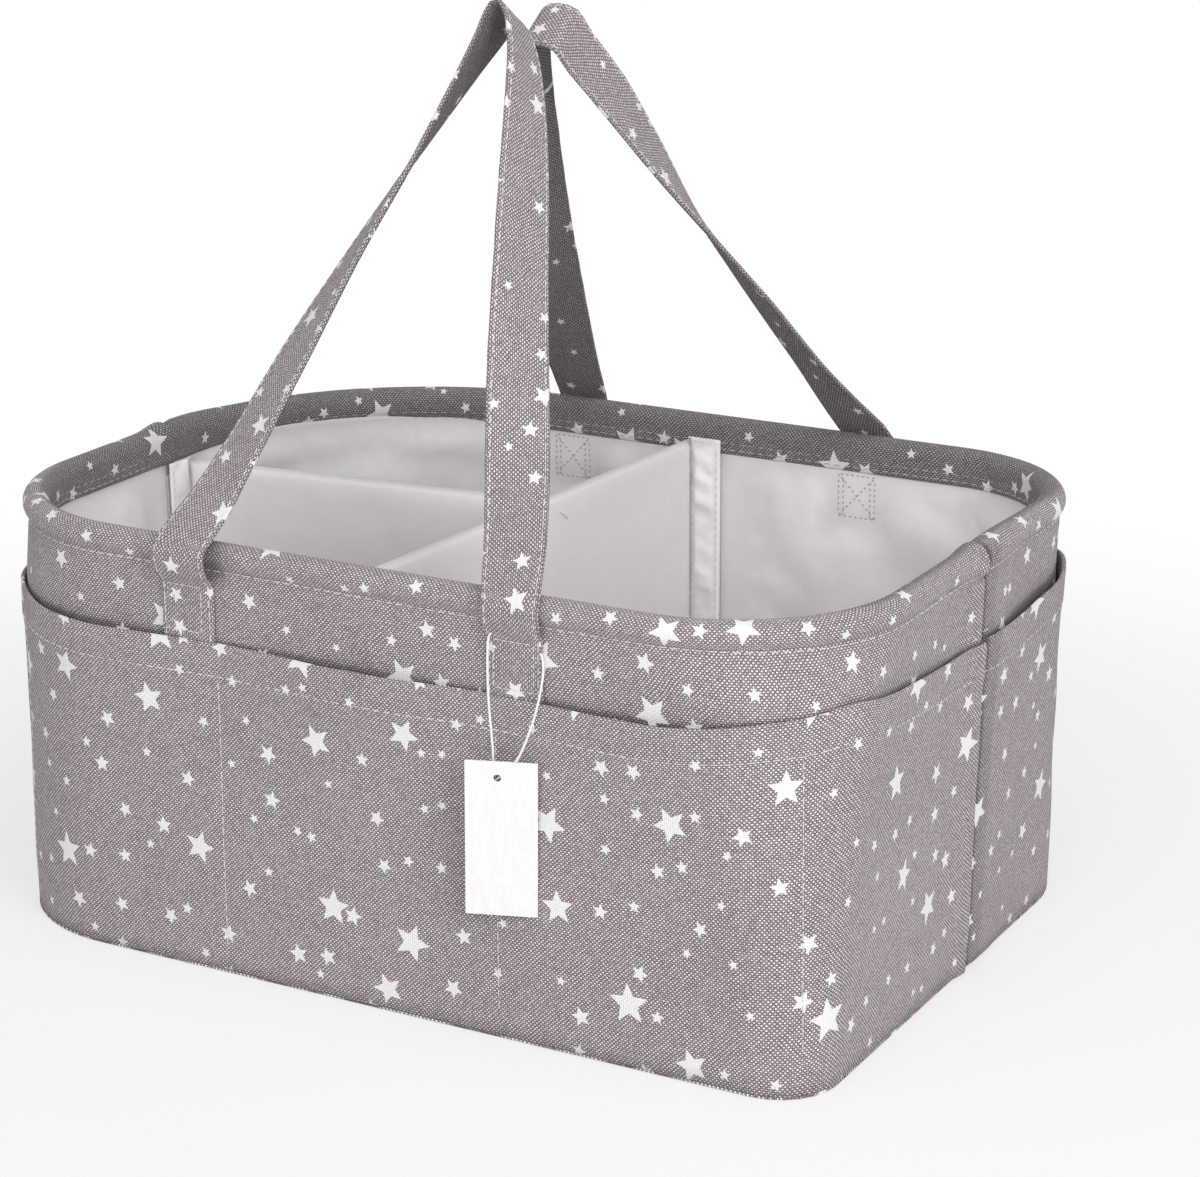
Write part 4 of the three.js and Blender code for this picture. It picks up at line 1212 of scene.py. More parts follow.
def spline(points, count):
    """Even points along a Catmull-Rom line through 2D points, with their directions."""
    fine = []
    last = len(points) - 1
    for i in range(last):
        p0, p1 = points[max(i - 1, 0)], points[i]
        p2, p3 = points[i + 1], points[min(i + 2, last)]
        for s in range(40):
            t = s / 40
            v0, v1 = (p2 - p0) * 0.5, (p3 - p1) * 0.5
            cubic, square = 2 * p1 - 2 * p2 + v0 + v1, -3 * p1 + 3 * p2 - 2 * v0 - v1
            fine.append(cubic * t**3 + square * t**2 + v0 * t + p1)
    fine.append(points[-1])
    fine = np.array([tuple(p) for p in fine])
    run = np.concatenate([[0], np.cumsum(np.hypot(*np.diff(fine, axis=0).T))])
    marks = np.linspace(0, run[-1], count + 1)
    even = np.stack([np.interp(marks, run, fine[:, k]) for k in (0, 1)], 1)
    ahead = np.gradient(even, axis=0)
    return even, ahead / np.linalg.norm(ahead, axis=1)[:, None]


def strap_ends(side, bend):
    """The middle lines of a strap's two sewn ends, from the pocket's edge up and round the roll."""
    on_wall = -GAP - STRAP_THICKNESS / 2
    box_top = STRAP_BOX_HIGH + 0.8
    neck = (ROLL_INSET - STRAP_ROUND, ROLL_HEIGHT)
    line = [(on_wall, POCKET_HEIGHT + GAP + h) for h in steps_between(0, box_top - POCKET_HEIGHT - GAP, 2)]
    line += [(on_wall - STRAP_PUFF * smooth(t), box_top + STRAP_PUFF_RISE * t) for t in (0.35, 0.7, 1.0)]
    line += [(lerp(line[-1][0], neck[0], t), lerp(line[-1][1], neck[1], t)) for t in (0.25, 0.5, 0.75)]
    for i in range(9):
        angle = bend * i / 8
        line.append((ROLL_INSET - STRAP_ROUND * math.cos(angle), ROLL_HEIGHT + STRAP_ROUND * math.sin(angle)))
    ends = []
    for leg in ("left", "right"):
        station = on_side(side, STRAP_PLACES[f"{side}_{leg}"])
        points = [wall_point(station, inset, height) for inset, height in line]
        for p in points[:STRAP_END_FRAMES]:
            p.y += OUT[side] * swell_at(wall_point(station, 0, p.z))
        ends.append(points)
    return ends


def handle_route(side, shift, reach):
    """Points of a handle's middle line in its own plane, from the left foot over the top to the right one."""
    apex_x, _, _, flat = APEX[side]
    legs = []
    for name in (f"{side}_left", f"{side}_right"):
        foot = STRAP_PLACES[name] + shift
        legs.append([Vector((lerp(apex_x, foot, spread), share * reach))
            for share, spread in zip(LEG_HEIGHTS, LEG_SPREADS[name])])
    top = [Vector((apex_x - flat / 2, reach)), Vector((apex_x + flat / 2, reach))]
    return [*legs[0], *top, *legs[1][::-1]]


def handle_twists(side, even, reach):
    """How far the strap is turned out of the handle's plane at each point, in degrees."""
    twists = []
    for x, y in even:
        leg = f"{side}_left" if x < APEX[side][0] else f"{side}_right"
        twists.append(np.interp(min(y / reach, 1), (*LEG_HEIGHTS, 1), (*LEG_TWISTS[leg], 90)))
    twists = np.array(twists)
    for _ in range(4):
        twists[1:-1] = (twists[:-2] + twists[1:-1] * 2 + twists[2:]) / 4
    return twists


def stood_off(place, side):
    """A frame moved out where its strap doesn't hug the rolled rim."""
    centre, along, wide, out = place
    leg = "left" if centre.x < APEX[side][0] + RIM_CENTRE[0] else "right"
    share = smooth((centre.z - STRAP_BOX_HIGH) / 10) * smooth((208 - centre.z) / 17)
    return centre + Vector((0, OUT[side] * STRAP_STAND[f"{side}_{leg}"] * share, 0)), along, wide, out


def strap_frames(side):
    """Frames (centre, along, wide, out) down one strap, from its left end over the handle to its right
    end, and the length so far at each."""
    out = OUT[side]
    bend = strap_bend(side)
    across = Vector((1, 0, 0))
    start_height = ROLL_HEIGHT + STRAP_ROUND * math.sin(bend)
    start_inset = ROLL_INSET - STRAP_ROUND * math.cos(bend)
    slump_x, slump_y = slump(start_height)
    start = Vector((RIM_CENTRE[0], out * (HALF_WIDTH - start_inset) + slump_y + RIM_CENTRE[1], start_height))
    _, apex_y, apex_height, _ = APEX[side]
    top = Vector((RIM_CENTRE[0], apex_y + RIM_CENTRE[1], apex_height))
    rise = (top - start).normalized()
    start = start + rise * GAP
    reach = (top - start).length
    outside = across.cross(rise) * -out

    left_end, right_end = strap_ends(side, bend)
    ends = []
    for points, sign in ((left_end, 1), (right_end[::-1], -1)):
        places = []
        for i, p in enumerate(points):
            a, b = points[max(i - 1, 0)], points[min(i + 1, len(points) - 1)]
            along = (b - a).normalized()
            wide = across * sign
            places.append((p, along, wide, along.cross(wide) * out))
        ends.append(places)

    even, ahead = spline(handle_route(side, slump_x, reach), HANDLE_STEPS)
    twists = handle_twists(side, even, reach)
    handle = []
    for i in range(1, HANDLE_STEPS):
        (x, y), (dx, dy), twist = even[i], ahead[i], math.radians(twists[i])
        along = (across * dx + rise * dy).normalized()
        inward = (across * dy - rise * dx).normalized()
        wide = (inward * math.cos(twist) + outside * math.sin(twist)).normalized()
        handle.append((start + across * x + rise * y, along, wide, along.cross(wide) * out))
    frames = [stood_off(place, side) for place in (*ends[0], *handle, *ends[1])]
    run = [0.0]
    for a, b in zip(frames, frames[1:]):
        run.append(run[-1] + (b[0] - a[0]).length)
    return frames, run


def strap_section():
    """The strap's section: (across, thickness, inner side), with soft edges and dips at its stitches."""
    half, thick = STRAP_WIDTH / 2, STRAP_THICKNESS / 2
    ends = (0.4, 1.0, STRAP_ROW, 2.8, 4.2, 6.6, 9.8)
    rows = [-half + w for w in ends] + [half - w for w in reversed(ends)]
    dips = {-half + STRAP_ROW: 0.22, half - STRAP_ROW: 0.22, -half + 0.4: 0.4, half - 0.4: 0.4}
    outer = [(w, thick - dips.get(w, 0), 0.0) for w in rows]
    inner = [(w, -(thick - dips.get(w, 0)), 1.0) for w in reversed(rows)]
    return [*outer, (half, 0, 0.5), *inner, (-half, 0, 0.5)]


def bend_strap(piece, side):
    """Finds the ends of the strap's bend below and above its hinge, then bakes the piece's place into its
    mesh.
    """
    hinge = next(j for j in frame["record"]["behaviour"]["joints"] if j["name"] == f"handle_{side}_swing")
    place = Vector(hinge["pos_m"])
    lean = strap_bend(side)
    way = Vector((0, -OUT[side] * math.sin(lean), math.cos(lean)))
    start, end = place - way * BEND_BELOW, place + way * BEND_ABOVE
    tuple(start)
    tuple(end)
    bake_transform(piece)


def build_strap(side):
    """One strap, from sewn end to sewn end, with all its stitches."""
    frames, run = strap_frames(side)
    section = strap_section()
    across = section_lengths([(w, t) for w, t, _ in section])
    rings, inside = [], []
    for (centre, _, wide, out), at in zip(frames, run):
        ends = min(at, run[-1] - at)
        crown = 0.35 * noise.noise(Vector((at / 28, 1.3, 0))) * smooth((ends - 30) / 20)
        ring = []
        for w, t, inner in section:
            cup = crown * (1 - (2 * w / STRAP_WIDTH) ** 2)
            edge = 0.25 * noise.noise(Vector((at / 9, w, 2.2))) if abs(w) > STRAP_WIDTH / 2 - 1 else 0
            ring.append(centre + wide * (w + edge) + out * (t + cup))
            # Painted shade on the handle's inner face, by the inside mask, fading out 38 to 46 mm from the
            # sewn ends.
            inside.append(inner * smooth((ends - 38) / 8))
        rings.append(ring)
    piece = sweep(f"{side}_strap", rings, run, across, materials()["straps"], inside,
        offset=(0 if side == "front" else 1100, 40))
    bend_strap(piece, side)
    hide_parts(f"handle_strap_{side}", f"strap_end_{side}_left", f"strap_end_{side}_right")
    strap_edge_stitches(side, frames, run)
    strap_box_stitches(side, frames)
    if side == "back":
        loose_handle_thread(frames[LOOSE_FRAME])


def strap_edge_stitches(side, frames, run):
    """The rows along both edges of a strap, on its outer and on its inner side."""
    # On the inner side the rows take the darker copy of the thread: painted shade.
    for face, thread in ((1, "thread"), (-1, "hidden_thread")):
        rows = []
        for shift in (STRAP_ROW - STRAP_WIDTH / 2, STRAP_WIDTH / 2 - STRAP_ROW):
            row = []
            for (centre, _, wide, out), at in zip(frames, run):
                if face < 0 and min(at, run[-1] - at) < STRAP_INSIDE_ROW_START:
                    continue
                row.append((centre + wide * shift + out * face * (STRAP_THICKNESS / 2 - 0.18), out * face))
            rows.append(row)
        edges = stitches(f"{side}_strap_{thread}", rows, materials()[thread])
        bend_strap(edges, side)


def strap_box_stitches(side, frames):
    """The boxes of stitches, each with a cross in it, that hold a strap's ends to the wall."""
    boxes, crosses = [], []
    for leg in ("left", "right"):
        end = frames[:STRAP_END_FRAMES] if leg == "left" else frames[-STRAP_END_FRAMES:][::-1]
        shift = STRAP_BOX_SHIFT.get(f"{side}_{leg}", 0)
        for number, lines in enumerate(box_lines(STRAP_BOX_HALF, STRAP_BOX_LOW, STRAP_BOX_HIGH)):
            row = []
            for w, height in lines:
                centre, wide, out = frame_at(end, height)
                row.append((centre + wide * (w + shift) + out * (STRAP_THICKNESS / 2 + 0.05), out))
            (boxes if number < 4 else crosses).append(row)
    sew(f"{side}_box_stitches", boxes, length=2.6, gap=1.0)
    sew(f"{side}_cross_stitches", crosses, "dull_thread", length=2.6, gap=1.2, radius=0.22)


def loose_handle_thread(place):
    """The end of sewing thread that lies across the back handle."""
    centre, along, wide, out = place
    rows = []
    for step in (-0.5, 0.5):
        row = []
        for t in steps_between(0, 1, 0.1):
            sag = -1.3 * math.sin(math.pi * t)
            spot = centre + wide * lerp(4.6, 13.6, t) + along * (lerp(-1.4, 2.2, t) + sag + step)
            row.append((spot - out * (STRAP_THICKNESS / 2 + 0.15), -out))
        rows.append(row)
    sew("handle_loose_thread", rows, "string", "handle_back", length=8.6, gap=0.2, radius=0.42)


def box_lines(half, low, high, inner=None):
    """The rows of a box of stitches with a cross in it, as lists of (across, height) points."""
    corners = [(-half, low), (half, low), (half, high), (-half, high)]
    ends = [(0, 1), (1, 2), (2, 3), (3, 0), (0, 2), (1, 3)]
    lines = [(corners[a], corners[b]) for a, b in ends]
    if inner:
        lines += [((side * inner, low), (side * inner, high)) for side in (-1, 1)]
    return [[(lerp(a[0], b[0], t), lerp(a[1], b[1], t)) for t in steps_between(0, 1, 0.1)] for a, b in lines]


def frame_at(frames, height):
    """Centre, width and outer side of a strap's end at a height."""
    for a, b in zip(frames, frames[1:]):
        if b[0].z >= height:
            share = max(0, height - a[0].z) / max(b[0].z - a[0].z, 1e-6)
            return a[0].lerp(b[0], share), a[2], a[3].lerp(b[3], share).normalized()
    return frames[-1][0], frames[-1][2], frames[-1][3]


class CADDY_OT_straps(bpy.types.Operator):
    """Builds the two strap handles with their sewn ends"""

    bl_idname = "caddy.straps"
    bl_label = "Strap handles"

    def execute(self, context):
        for side in ("front", "back"):
            build_strap(side)
        return {"FINISHED"}


# --- Lining ---
def crease_at(point, run, depth):
    """Soft creases: mostly upright, a few aslant, and none near the hem or the tapes."""
    upright = noise.noise(Vector((run / 30, point.z / 130, 1.7)))
    aslant = noise.noise(Vector(((run + 1.1 * point.z) / 48, (run - point.z) / 170, 8.4)))
    fine = noise.noise(Vector((run / 13, point.z / 22, 4.4)))
    gather = noise.noise(Vector((run / 8, 0.4, point.z / 60))) * smooth((point.z - LINER_TOP + 45) / 30)
    value = 0.5 + 0.65 * upright + 0.9 * aslant + 0.16 * fine + 0.3 * gather
    return depth * max(value, 0) * smooth((LINER_TOP - 8 - point.z) / 30) * smooth((point.z - 6) / 25)


@lru_cache(maxsize=None)
def flat_box(node):
    """The sides of a CAD piece's box, left, right, front and back, in millimetres."""
    low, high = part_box(node)
    return low[0] / MM, high[0] / MM, low[1] / MM, high[1] / MM


def corner_hang(station, height):
    """How far the lining stands off a corner, where it hangs straight from the rim to the floor."""
    kind, name, turn = resolve(station, height)
    if kind != "corner":
        return 0.0
    straight = lerp(BASE_CORNERS[name], RIM_CORNERS[name] - ROLL_PROUD, min(height / ROLL_START, 1))
    angle = math.pi / 2 * turn
    return HANG * max(straight - corner_radius(name, height), 0) * (math.cos(angle) + math.sin(angle) - 1)


def held_fade(point):
    """0 where a divider's flap or a strap's stitches hold the lining down, 1 away from them."""
    fade = 1.0
    for node in ("loop_tape_front", "loop_tape_back", "loop_tape_left"):
        left, right, front, back = flat_box(node)
        gap_x = max(left - point.x, point.x - right, 0)
        gap_y = max(front - point.y, point.y - back, 0)
        fade = min(fade, smooth((math.hypot(gap_x, gap_y) - 4) / 22))
    for name in STRAP_PLACES:
        middle = box_middle(name)
        off = max(abs(point.x - middle.x), abs(point.z - middle.z), abs(point.y - middle.y) * 0.5)
        fade = min(fade, smooth((off - STRAP_BOX_HALF - 2) / 14))
    return fade


@lru_cache(maxsize=None)
def box_middle(name):
    """Where the middle of a strap's box of stitches comes through the lining."""
    station = on_side(name.split("_")[0], STRAP_PLACES[name])
    return wall_point(station, LINER_FACE, (STRAP_BOX_LOW + STRAP_BOX_HIGH) / 2)


def buckle(points, ways, faces, held):
    """Lets a sheet grow a little between the places where it is held. Gives how far each point moved
    its own way."""
    scene = bpy.context.scene
    thing = new_mesh("lining_cloth", points, faces, [[(0, 0)] * len(face) for face in faces], None)
    thing.vertex_groups.new(name="held")
    for index, weight in enumerate(held):
        thing.vertex_groups["held"].add([index], weight, "REPLACE")
    cloth = thing.modifiers.new("Cloth", "CLOTH")
    for key, value in LINING_CLOTH.items():
        setattr(cloth.settings, key, value)
    cloth.settings.vertex_group_mass = "held"
    cloth.settings.shrink_min = -scene.caddy_shape.lining_ease
    cloth.settings.effector_weights.gravity = 0
    cloth.collision_settings.use_collision = False
    cloth.point_cache.frame_start, cloth.point_cache.frame_end = 1, SETTLE_FRAMES
    for step in range(1, SETTLE_FRAMES + 1):
        scene.frame_set(step)
    settled = thing.evaluated_get(bpy.context.evaluated_depsgraph_get()).data
    moved = [(vertex.co / MM - point).dot(way) for vertex, point, way in zip(settled.vertices, points, ways)]
    scene.frame_set(1)
    bpy.data.meshes.remove(thing.data)
    return np.array(moved)


def settle_lining(stations, heights, stands, fades):
    """How far the lining buckles inwards from where it stands, by station and height."""
    points, ways = [], []
    for i, station in enumerate(stations):
        way = -outward(station)
        for j, height in enumerate(heights):
            points.append(wall_point(station, LINER_FACE, height) + way * float(stands[i, j]))
            ways.append(way)
    rows = len(heights)
    faces = [(i * rows + j, (i + 1) * rows + j, (i + 1) * rows + j + 1, i * rows + j + 1)
        for i in range(len(stations) - 1) for j in range(rows - 1)]
    held = (1 - np.clip(fades.ravel() * 3, 0, 1)).tolist()
    return buckle(points, ways, faces, held).reshape(fades.shape)


def lining_depths(stations, run, heights):
    """How far the lining stands in from its boards, by station and height."""
    crease = setting("crease")
    depth = np.zeros((len(stations), len(heights)))
    fades, hangs = np.zeros_like(depth), np.zeros_like(depth)
    for i, (station, at) in enumerate(zip(stations, run)):
        ends = smooth(min(at, run[-1] - at) / 12)
        for j, height in enumerate(heights):
            point = wall_point(station, LINER_FACE, height)
            upright = smooth((LINER_TOP - 4 - height) / 16) * smooth((height - 6) / 16)
            fades[i, j] = held_fade(point) * ends * upright
            depth[i, j] = crease_at(point, at, crease)
            hangs[i, j] = corner_hang(station, height)
    moved = settle_lining(stations, heights, hangs + 0.25 * depth * fades, fades)
    moved = np.clip(moved + STAND_OFF, 0, None)
    depth = 0.3 * depth + LINING_REACH * np.tanh(0.7 * moved / LINING_REACH)
    return depth * fades + hangs


def valleys(depth):
    """1 in the narrow valleys beside the creases, 0 on their crests and where the lining is flat. It masks
    painted shade in the valleys.
    """
    mean = depth.copy()
    reach = 3
    for axis in (0, 1):
        mean = sum(np.roll(mean, step, axis) for step in range(-reach, reach + 1)) / (2 * reach + 1)
    return 0.45 * np.clip((mean - depth) / 1.1, 0, 1)


def build_liner(half):
    """One half of the lining: a sheet from the floor to the rim's hem."""
    stations = half_outline(half, 4.0)
    run = distances(stations)
    heights = steps_between(LINER_FLOOR, LINER_TOP, 4.5)
    depth = lining_depths(stations, run, heights)
    dark = valleys(depth)
    section = [*[(LINER_FACE, h) for h in heights], *[(LINER_INSET, h) for h in heights[::-1]]]
    rings, shade = [], []
    for i, station in enumerate(stations):
        here = [*depth[i], *depth[i][::-1]]
        rings.append([wall_point(station, inset + float(d), h) for (inset, h), d in zip(section, here)])
        shade += [*map(float, dark[i]), *([0.0] * len(heights))]
    piece = sweep(f"lining_{half}", rings, run, section_lengths(section), materials()["lining"], shade=shade)
    finish(piece, "caddy", [f"liner_{half}", *COVERED_BOARDS[half]])


def build_liner_floor():
    """The lining's floor, a flat panel."""
    edge = [wall_point(station, LINER_FACE + GAP, LINER_FLOOR) for station in whole_outline()]
    levels = ((LINER_FLOOR, LINER_FLOOR), (FLOOR_FACE, FLOOR_FACE - 0.3))
    piece = flat_panel("lining_floor", edge, (0.2, 0.4, 0.6, 0.8, 0.93, 1.0), levels, materials()["lining"])
    finish(piece, "caddy", ["liner_floor"])


def needle_boxes():
    """Rows of needle holes on the lining where the straps' box stitches come through."""
    rows = []
    for name, place in STRAP_PLACES.items():
        side = name.split("_")[0]
        for line in box_lines(STRAP_BOX_HALF, STRAP_BOX_LOW, STRAP_BOX_HIGH, STRAP_BOX_HALF - 2.4):
            row = []
            for w, height in line:
                station = on_side(side, place + w)
                row.append((wall_point(station, LINER_FACE + 0.1, height), -outward(station)))
            rows.append(row)
    return rows


class CADDY_OT_lining(bpy.types.Operator):
    """Builds the lining and the needle marks on it"""

    bl_idname = "caddy.lining"
    bl_label = "Lining"

    def execute(self, context):
        for half in ("front", "back"):
            build_liner(half)
        build_liner_floor()
        marks = stitches("lining_needle_marks", needle_boxes(), materials()["dull_thread"],
            length=1.5, gap=1.2, radius=0.38)
        finish(marks, "caddy")
        return {"FINISHED"}


# --- Dividers ---
def slumped(point):
    """A point of the upright caddy, moved as the walls lean at its height."""
    slump_x, slump_y = slump(point.z)
    return Vector((point.x + slump_x + RIM_CENTRE[0], point.y + slump_y + RIM_CENTRE[1], point.z))


def cross_place():
    """Where the cross divider stands, with its left face to the divider's own +Y."""
    return Matrix.Translation((CROSS_PLACE, 0, 0)) @ Matrix.Rotation(math.pi / 2 + CROSS_YAW, 4, "Z")


def side_frame():
    """Where the side divider starts, how long it is and which way it runs."""
    face = -DIVIDER / 2 - TAPES - FLAP
    start = Vector((-BASE_LENGTH / 2 + DIVIDER_INSET, SIDE_WALL_PLACE))
    middle_x = CROSS_PLACE + SIDE_CROSS_PLACE * math.tan(-CROSS_YAW)
    end = Vector((middle_x + face - 3 * GAP, SIDE_CROSS_PLACE))
    yaw = math.atan2(end.y - start.y, end.x - start.x)
    return Matrix.Translation((start.x, start.y, 0)) @ Matrix.Rotation(yaw, 4, "Z"), (end - start).length


def divider_pad(name, place, left, right, top, seed):
    """A padded divider: two faces of cloth, sewn round the edge, with a crisp fold along the top."""
    puff = setting("divider_puff")
    points, faces, uvs = [], [], []
    grid = {}
    for face in (1, -1):
        for i in range(PAD_COLUMNS + 1):
            for j in range(PAD_ROWS + 1):
                u, v = i / PAD_COLUMNS, j / PAD_ROWS
                h = lerp(DIVIDER_FOOT, top, v)
                x = lerp(left(h), right(h), u)
                rim = min(u, 1 - u, v * 0.9 + 0.004, (1 - v) * 0.9)
                edge = smooth(rim / PAD_EDGE) if rim < PAD_EDGE else 1
                border = i in (0, PAD_COLUMNS) or j in (0, PAD_ROWS)
                if border and face < 0:
                    grid[face, i, j] = grid[1, i, j]
                    continue
                wave = noise.noise(Vector((x / 46, h / 52, seed)))
                wave += 0.4 * noise.noise(Vector((x / 17, h / 21, seed)))
                half = lerp(DIVIDER / 2 - 1.0, DIVIDER / 2, edge)
                crinkle = noise.noise(Vector(((x + 0.8 * h) / 21, (h - 0.5 * x) / 70, seed + 4)))
                y = 0 if border else face * half + edge * puff * (wave * 0.6 + 0.5 * crinkle)
                grid[face, i, j] = len(points)
                points.append(slumped(place @ Vector((x, y, h))))
    for face in (1, -1):
        for i in range(PAD_COLUMNS):
            for j in range(PAD_ROWS):
                ring = [(i, j), (i + 1, j), (i + 1, j + 1), (i, j + 1)]
                if face < 0:
                    ring.reverse()
                faces.append(tuple(grid[(face, *c)] for c in ring))
                shift = 0 if face > 0 else 500
                uvs.append(tuple((lerp(left(top), right(top), i / PAD_COLUMNS) + shift,
                    lerp(DIVIDER_FOOT, top, j / PAD_ROWS)) for i, j in ring))
    piece = new_mesh(name, points, faces, uvs, materials()["divider"])
    fix_facing(piece)
    return piece


def flap_strip(name, corner, width, top, seed):
    """A sewn flap, puckered between its stitches. corner(across, stand, height) gives its points."""
    edges = (0, 0.5, 1.8, 2.6)
    across = [*edges, *steps_between(4, width - 4, 1.3), *(width - w for w in edges[::-1])]
    heights = steps_between(DIVIDER_FOOT, top, 1.6)
    rings, shade = [], []
    for h in heights:
        face = []
        for w in across:
            edge = min(w, width - w)
            middle = smooth((edge - 2.4) / 2.2)
            wave = 1.5 * noise.noise(Vector(((w + 0.35 * h) / 26, (h + 0.3 * w) / 5.6, seed)))
            wave += 0.45 * noise.noise(Vector((w / 6, h / 3.4, seed + 5)))
            rim = 0.4 * smooth(1 - edge / 0.8)
            # Painted shade in the puckers' hollows and along the rows of stitches.
            hollow = 0.6 * middle * smooth(0.25 - 1.3 * wave)
            shade.append(hollow + 0.45 * math.exp(-(((edge - 2.2) / 0.7) ** 2)))
            face.append(corner(w, FLAP - rim + middle * max(0.1, 0.7 + 1.15 * wave), h))
        shade += [0.0] * len(across)
        rings.append(face + [corner(w, 0.0, h) for w in reversed(across)])
    section = [(w, 0) for w in across] + [(w, FLAP) for w in reversed(across)]
    return sweep(name, rings, heights, section_lengths(section), materials()["flap"], shade=shade,
        offset=(0, 300 + 40 * seed))


def flap_rows(corner, width, top, normal):
    """Rows of stitches up both edges of a flap and across its top."""
    stand = FLAP - 0.05
    rise = steps_between(DIVIDER_FOOT + FLAP_ROW, top - FLAP_ROW, 4)
    rows = [[(corner(w, stand, h), normal) for h in rise] for w in (FLAP_ROW, width - FLAP_ROW)]
    span = steps_between(FLAP_ROW, width - FLAP_ROW, 2)
    return [*rows, [(corner(w, stand, top - FLAP_ROW), normal) for w in span]]


def build_flap(divider, end, corner, width, top, normal, seed):
    """One end's flap of a divider. Gives the rows of its stitches."""
    piece = flap_strip(f"{divider}_flap_{end}", corner, width, top, seed)
    finish(piece, f"{divider}_divider", [f"{divider}_divider_flap_{end}"])
    return flap_rows(corner, width, top, normal)


def build_pads():
    """The two dividers themselves: boards in cloth."""
    loss = DIVIDER * abs(math.sin(CROSS_YAW))
    half = (HALF_WIDTH - DIVIDER_INSET) / math.cos(CROSS_YAW) - loss
    place, length = side_frame()
    lean = (HALF_NECK - BASE_LENGTH / 2) / ROLL_START
    pads = {
        "cross": (cross_place(), lambda h: -half, lambda h: half, CROSS_TOP, 2.6),
        "side": (place, lambda h: -lean * h, lambda h: length, SIDE_TOP, 6.1),
    }
    for name, shape in pads.items():
        pad = divider_pad(f"{name}_divider_pad", *shape)
        finish(pad, f"{name}_divider", [f"{name}_divider_cover", f"{name}_divider_board"])


def build_cross_flaps():
    """The cross divider's two flaps. Gives the rows of their stitches."""
    shift = (HALF_WIDTH - DIVIDER_INSET) * math.tan(-CROSS_YAW)
    rows = []
    for side in ("front", "back"):
        edge = CROSS_PLACE + OUT[side] * shift - DIVIDER / 2

        def corner(w, stand, h, side=side, edge=edge):
            return wall_point(on_side(side, edge + w), FLAP_INSET + stand, h)

        rows += build_flap("cross", side, corner, FLAP_WIDTH, CROSS_TOP, -outward(on_side(side, 0)), 1.5)
    return rows


def build_side_flaps():
    """The side divider's two flaps. Gives the rows of their stitches."""
    def wall_corner(w, stand, h):
        return wall_point(on_side("left", SIDE_WALL_PLACE + DIVIDER / 2 - w), FLAP_INSET + stand, h)

    rows = build_flap("side", "wall", wall_corner, FLAP_WIDTH, SIDE_TOP, Vector((1, 0, 0)), 2.5)
    cross = cross_place()
    along = SIDE_CROSS_PLACE / math.cos(CROSS_YAW) + DIVIDER / 2 - SIDE_FLAP_WIDTH

    def cross_corner(w, stand, h):
        return slumped(cross @ Vector((along + w, DIVIDER / 2 + TAPES + stand, h)))

    return rows + build_flap("side", "cross", cross_corner, SIDE_FLAP_WIDTH, SIDE_TOP, cross_normal(), 3.5)


def cross_normal():
    """The direction in which the cross divider's left face looks."""
    return (cross_place().to_3x3() @ Vector((0, 1, 0))).normalized()


def loose_divider_thread():
    """The end of sewing thread that hangs from the cross divider's top."""
    line = []
    for t in steps_between(0, 1, 0.1):
        bow = 0.8 * math.sin(math.pi * t)
        spot = Vector((lerp(19.3, 26.6, t), -DIVIDER / 2 - 0.75, lerp(172.3, 166.4, t) + bow))
        line.append((slumped(cross_place() @ spot), -cross_normal()))
    sew("divider_loose_thread", [line], "string", "cross_divider", length=7.6, gap=0.2, radius=0.38)


class CADDY_OT_dividers(bpy.types.Operator):
    """Builds the two padded dividers with their flaps"""

    bl_idname = "caddy.dividers"
    bl_label = "Dividers"

    def execute(self, context):
        build_pads()
        threads = {"cross_divider": build_cross_flaps(), "side_divider": build_side_flaps()}
        loose_divider_thread()
        for body, rows in threads.items():
            sew(f"{body}_flap_stitches", rows, "flap_thread", body, length=2.8, gap=1.2, radius=0.22)
        return {"FINISHED"}


# --- Tag, and the CAD pieces that keep their shape ---
def string_mesh(name, points, radius):
    """A smooth tube through the points, or with no radius the line that it follows."""
    curve = bpy.data.curves.new(name, "CURVE")
    curve.dimensions = "3D"
    curve.bevel_depth = radius
    curve.bevel_resolution = 3
    curve.use_fill_caps = radius > 0
    curve.resolution_u = 8
    line = curve.splines.new("NURBS")
    line.points.add(len(points) - 1)
    for spot, p in zip(line.points, points):
        spot.co = (*p, 1)
    line.use_endpoint_u = True
    line.order_u = 4
    holder = bpy.data.objects.new(name, curve)
    mesh = bpy.data.meshes.new_from_object(holder)
    bpy.data.objects.remove(holder)
    bpy.data.curves.remove(curve)
    mesh.name = name
    return mesh


class CADDY_OT_tag(bpy.types.Operator):
    """Builds the string of the hang tag"""

    bl_idname = "caddy.tag"
    bl_label = "Hang tag"

    def execute(self, context):
        points = [(Vector(p) + Vector((*RIM_CENTRE, 0))) * MM for p in STRING_ROUTE]
        line = string_mesh("tag_string_line", points, 0)
        path = [spot.co.copy() for spot in line.vertices]
        bpy.data.meshes.remove(line)
        mesh = string_mesh("tag_string", points, STRING_RADIUS * MM)
        mesh.shade_smooth()
        mesh.materials.append(materials()["string"])
        string = bpy.data.objects.new("tag_string", mesh)
        context.collection.objects.link(string)
        # Points under the string's start, at the heights where its loop ends and its free strands start.
        x, y, _ = path[0]
        start, end = (x, y, STRING_LOOP_END * MM), (x, y, STRING_SWING_START * MM)
        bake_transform(string)
        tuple(start)
        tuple(end)
        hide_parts("hang_tag_string")
        length = sum((b - a).length for a, b in zip(path, path[1:]))
        tuple(path[0])
        [tuple(p) for p in path]
        return {"FINISHED"}


KEPT = {"card": ("hang_tag_card",), "board": ("board", "rim_core"), "tape": ("loop_tape", "hooks")}


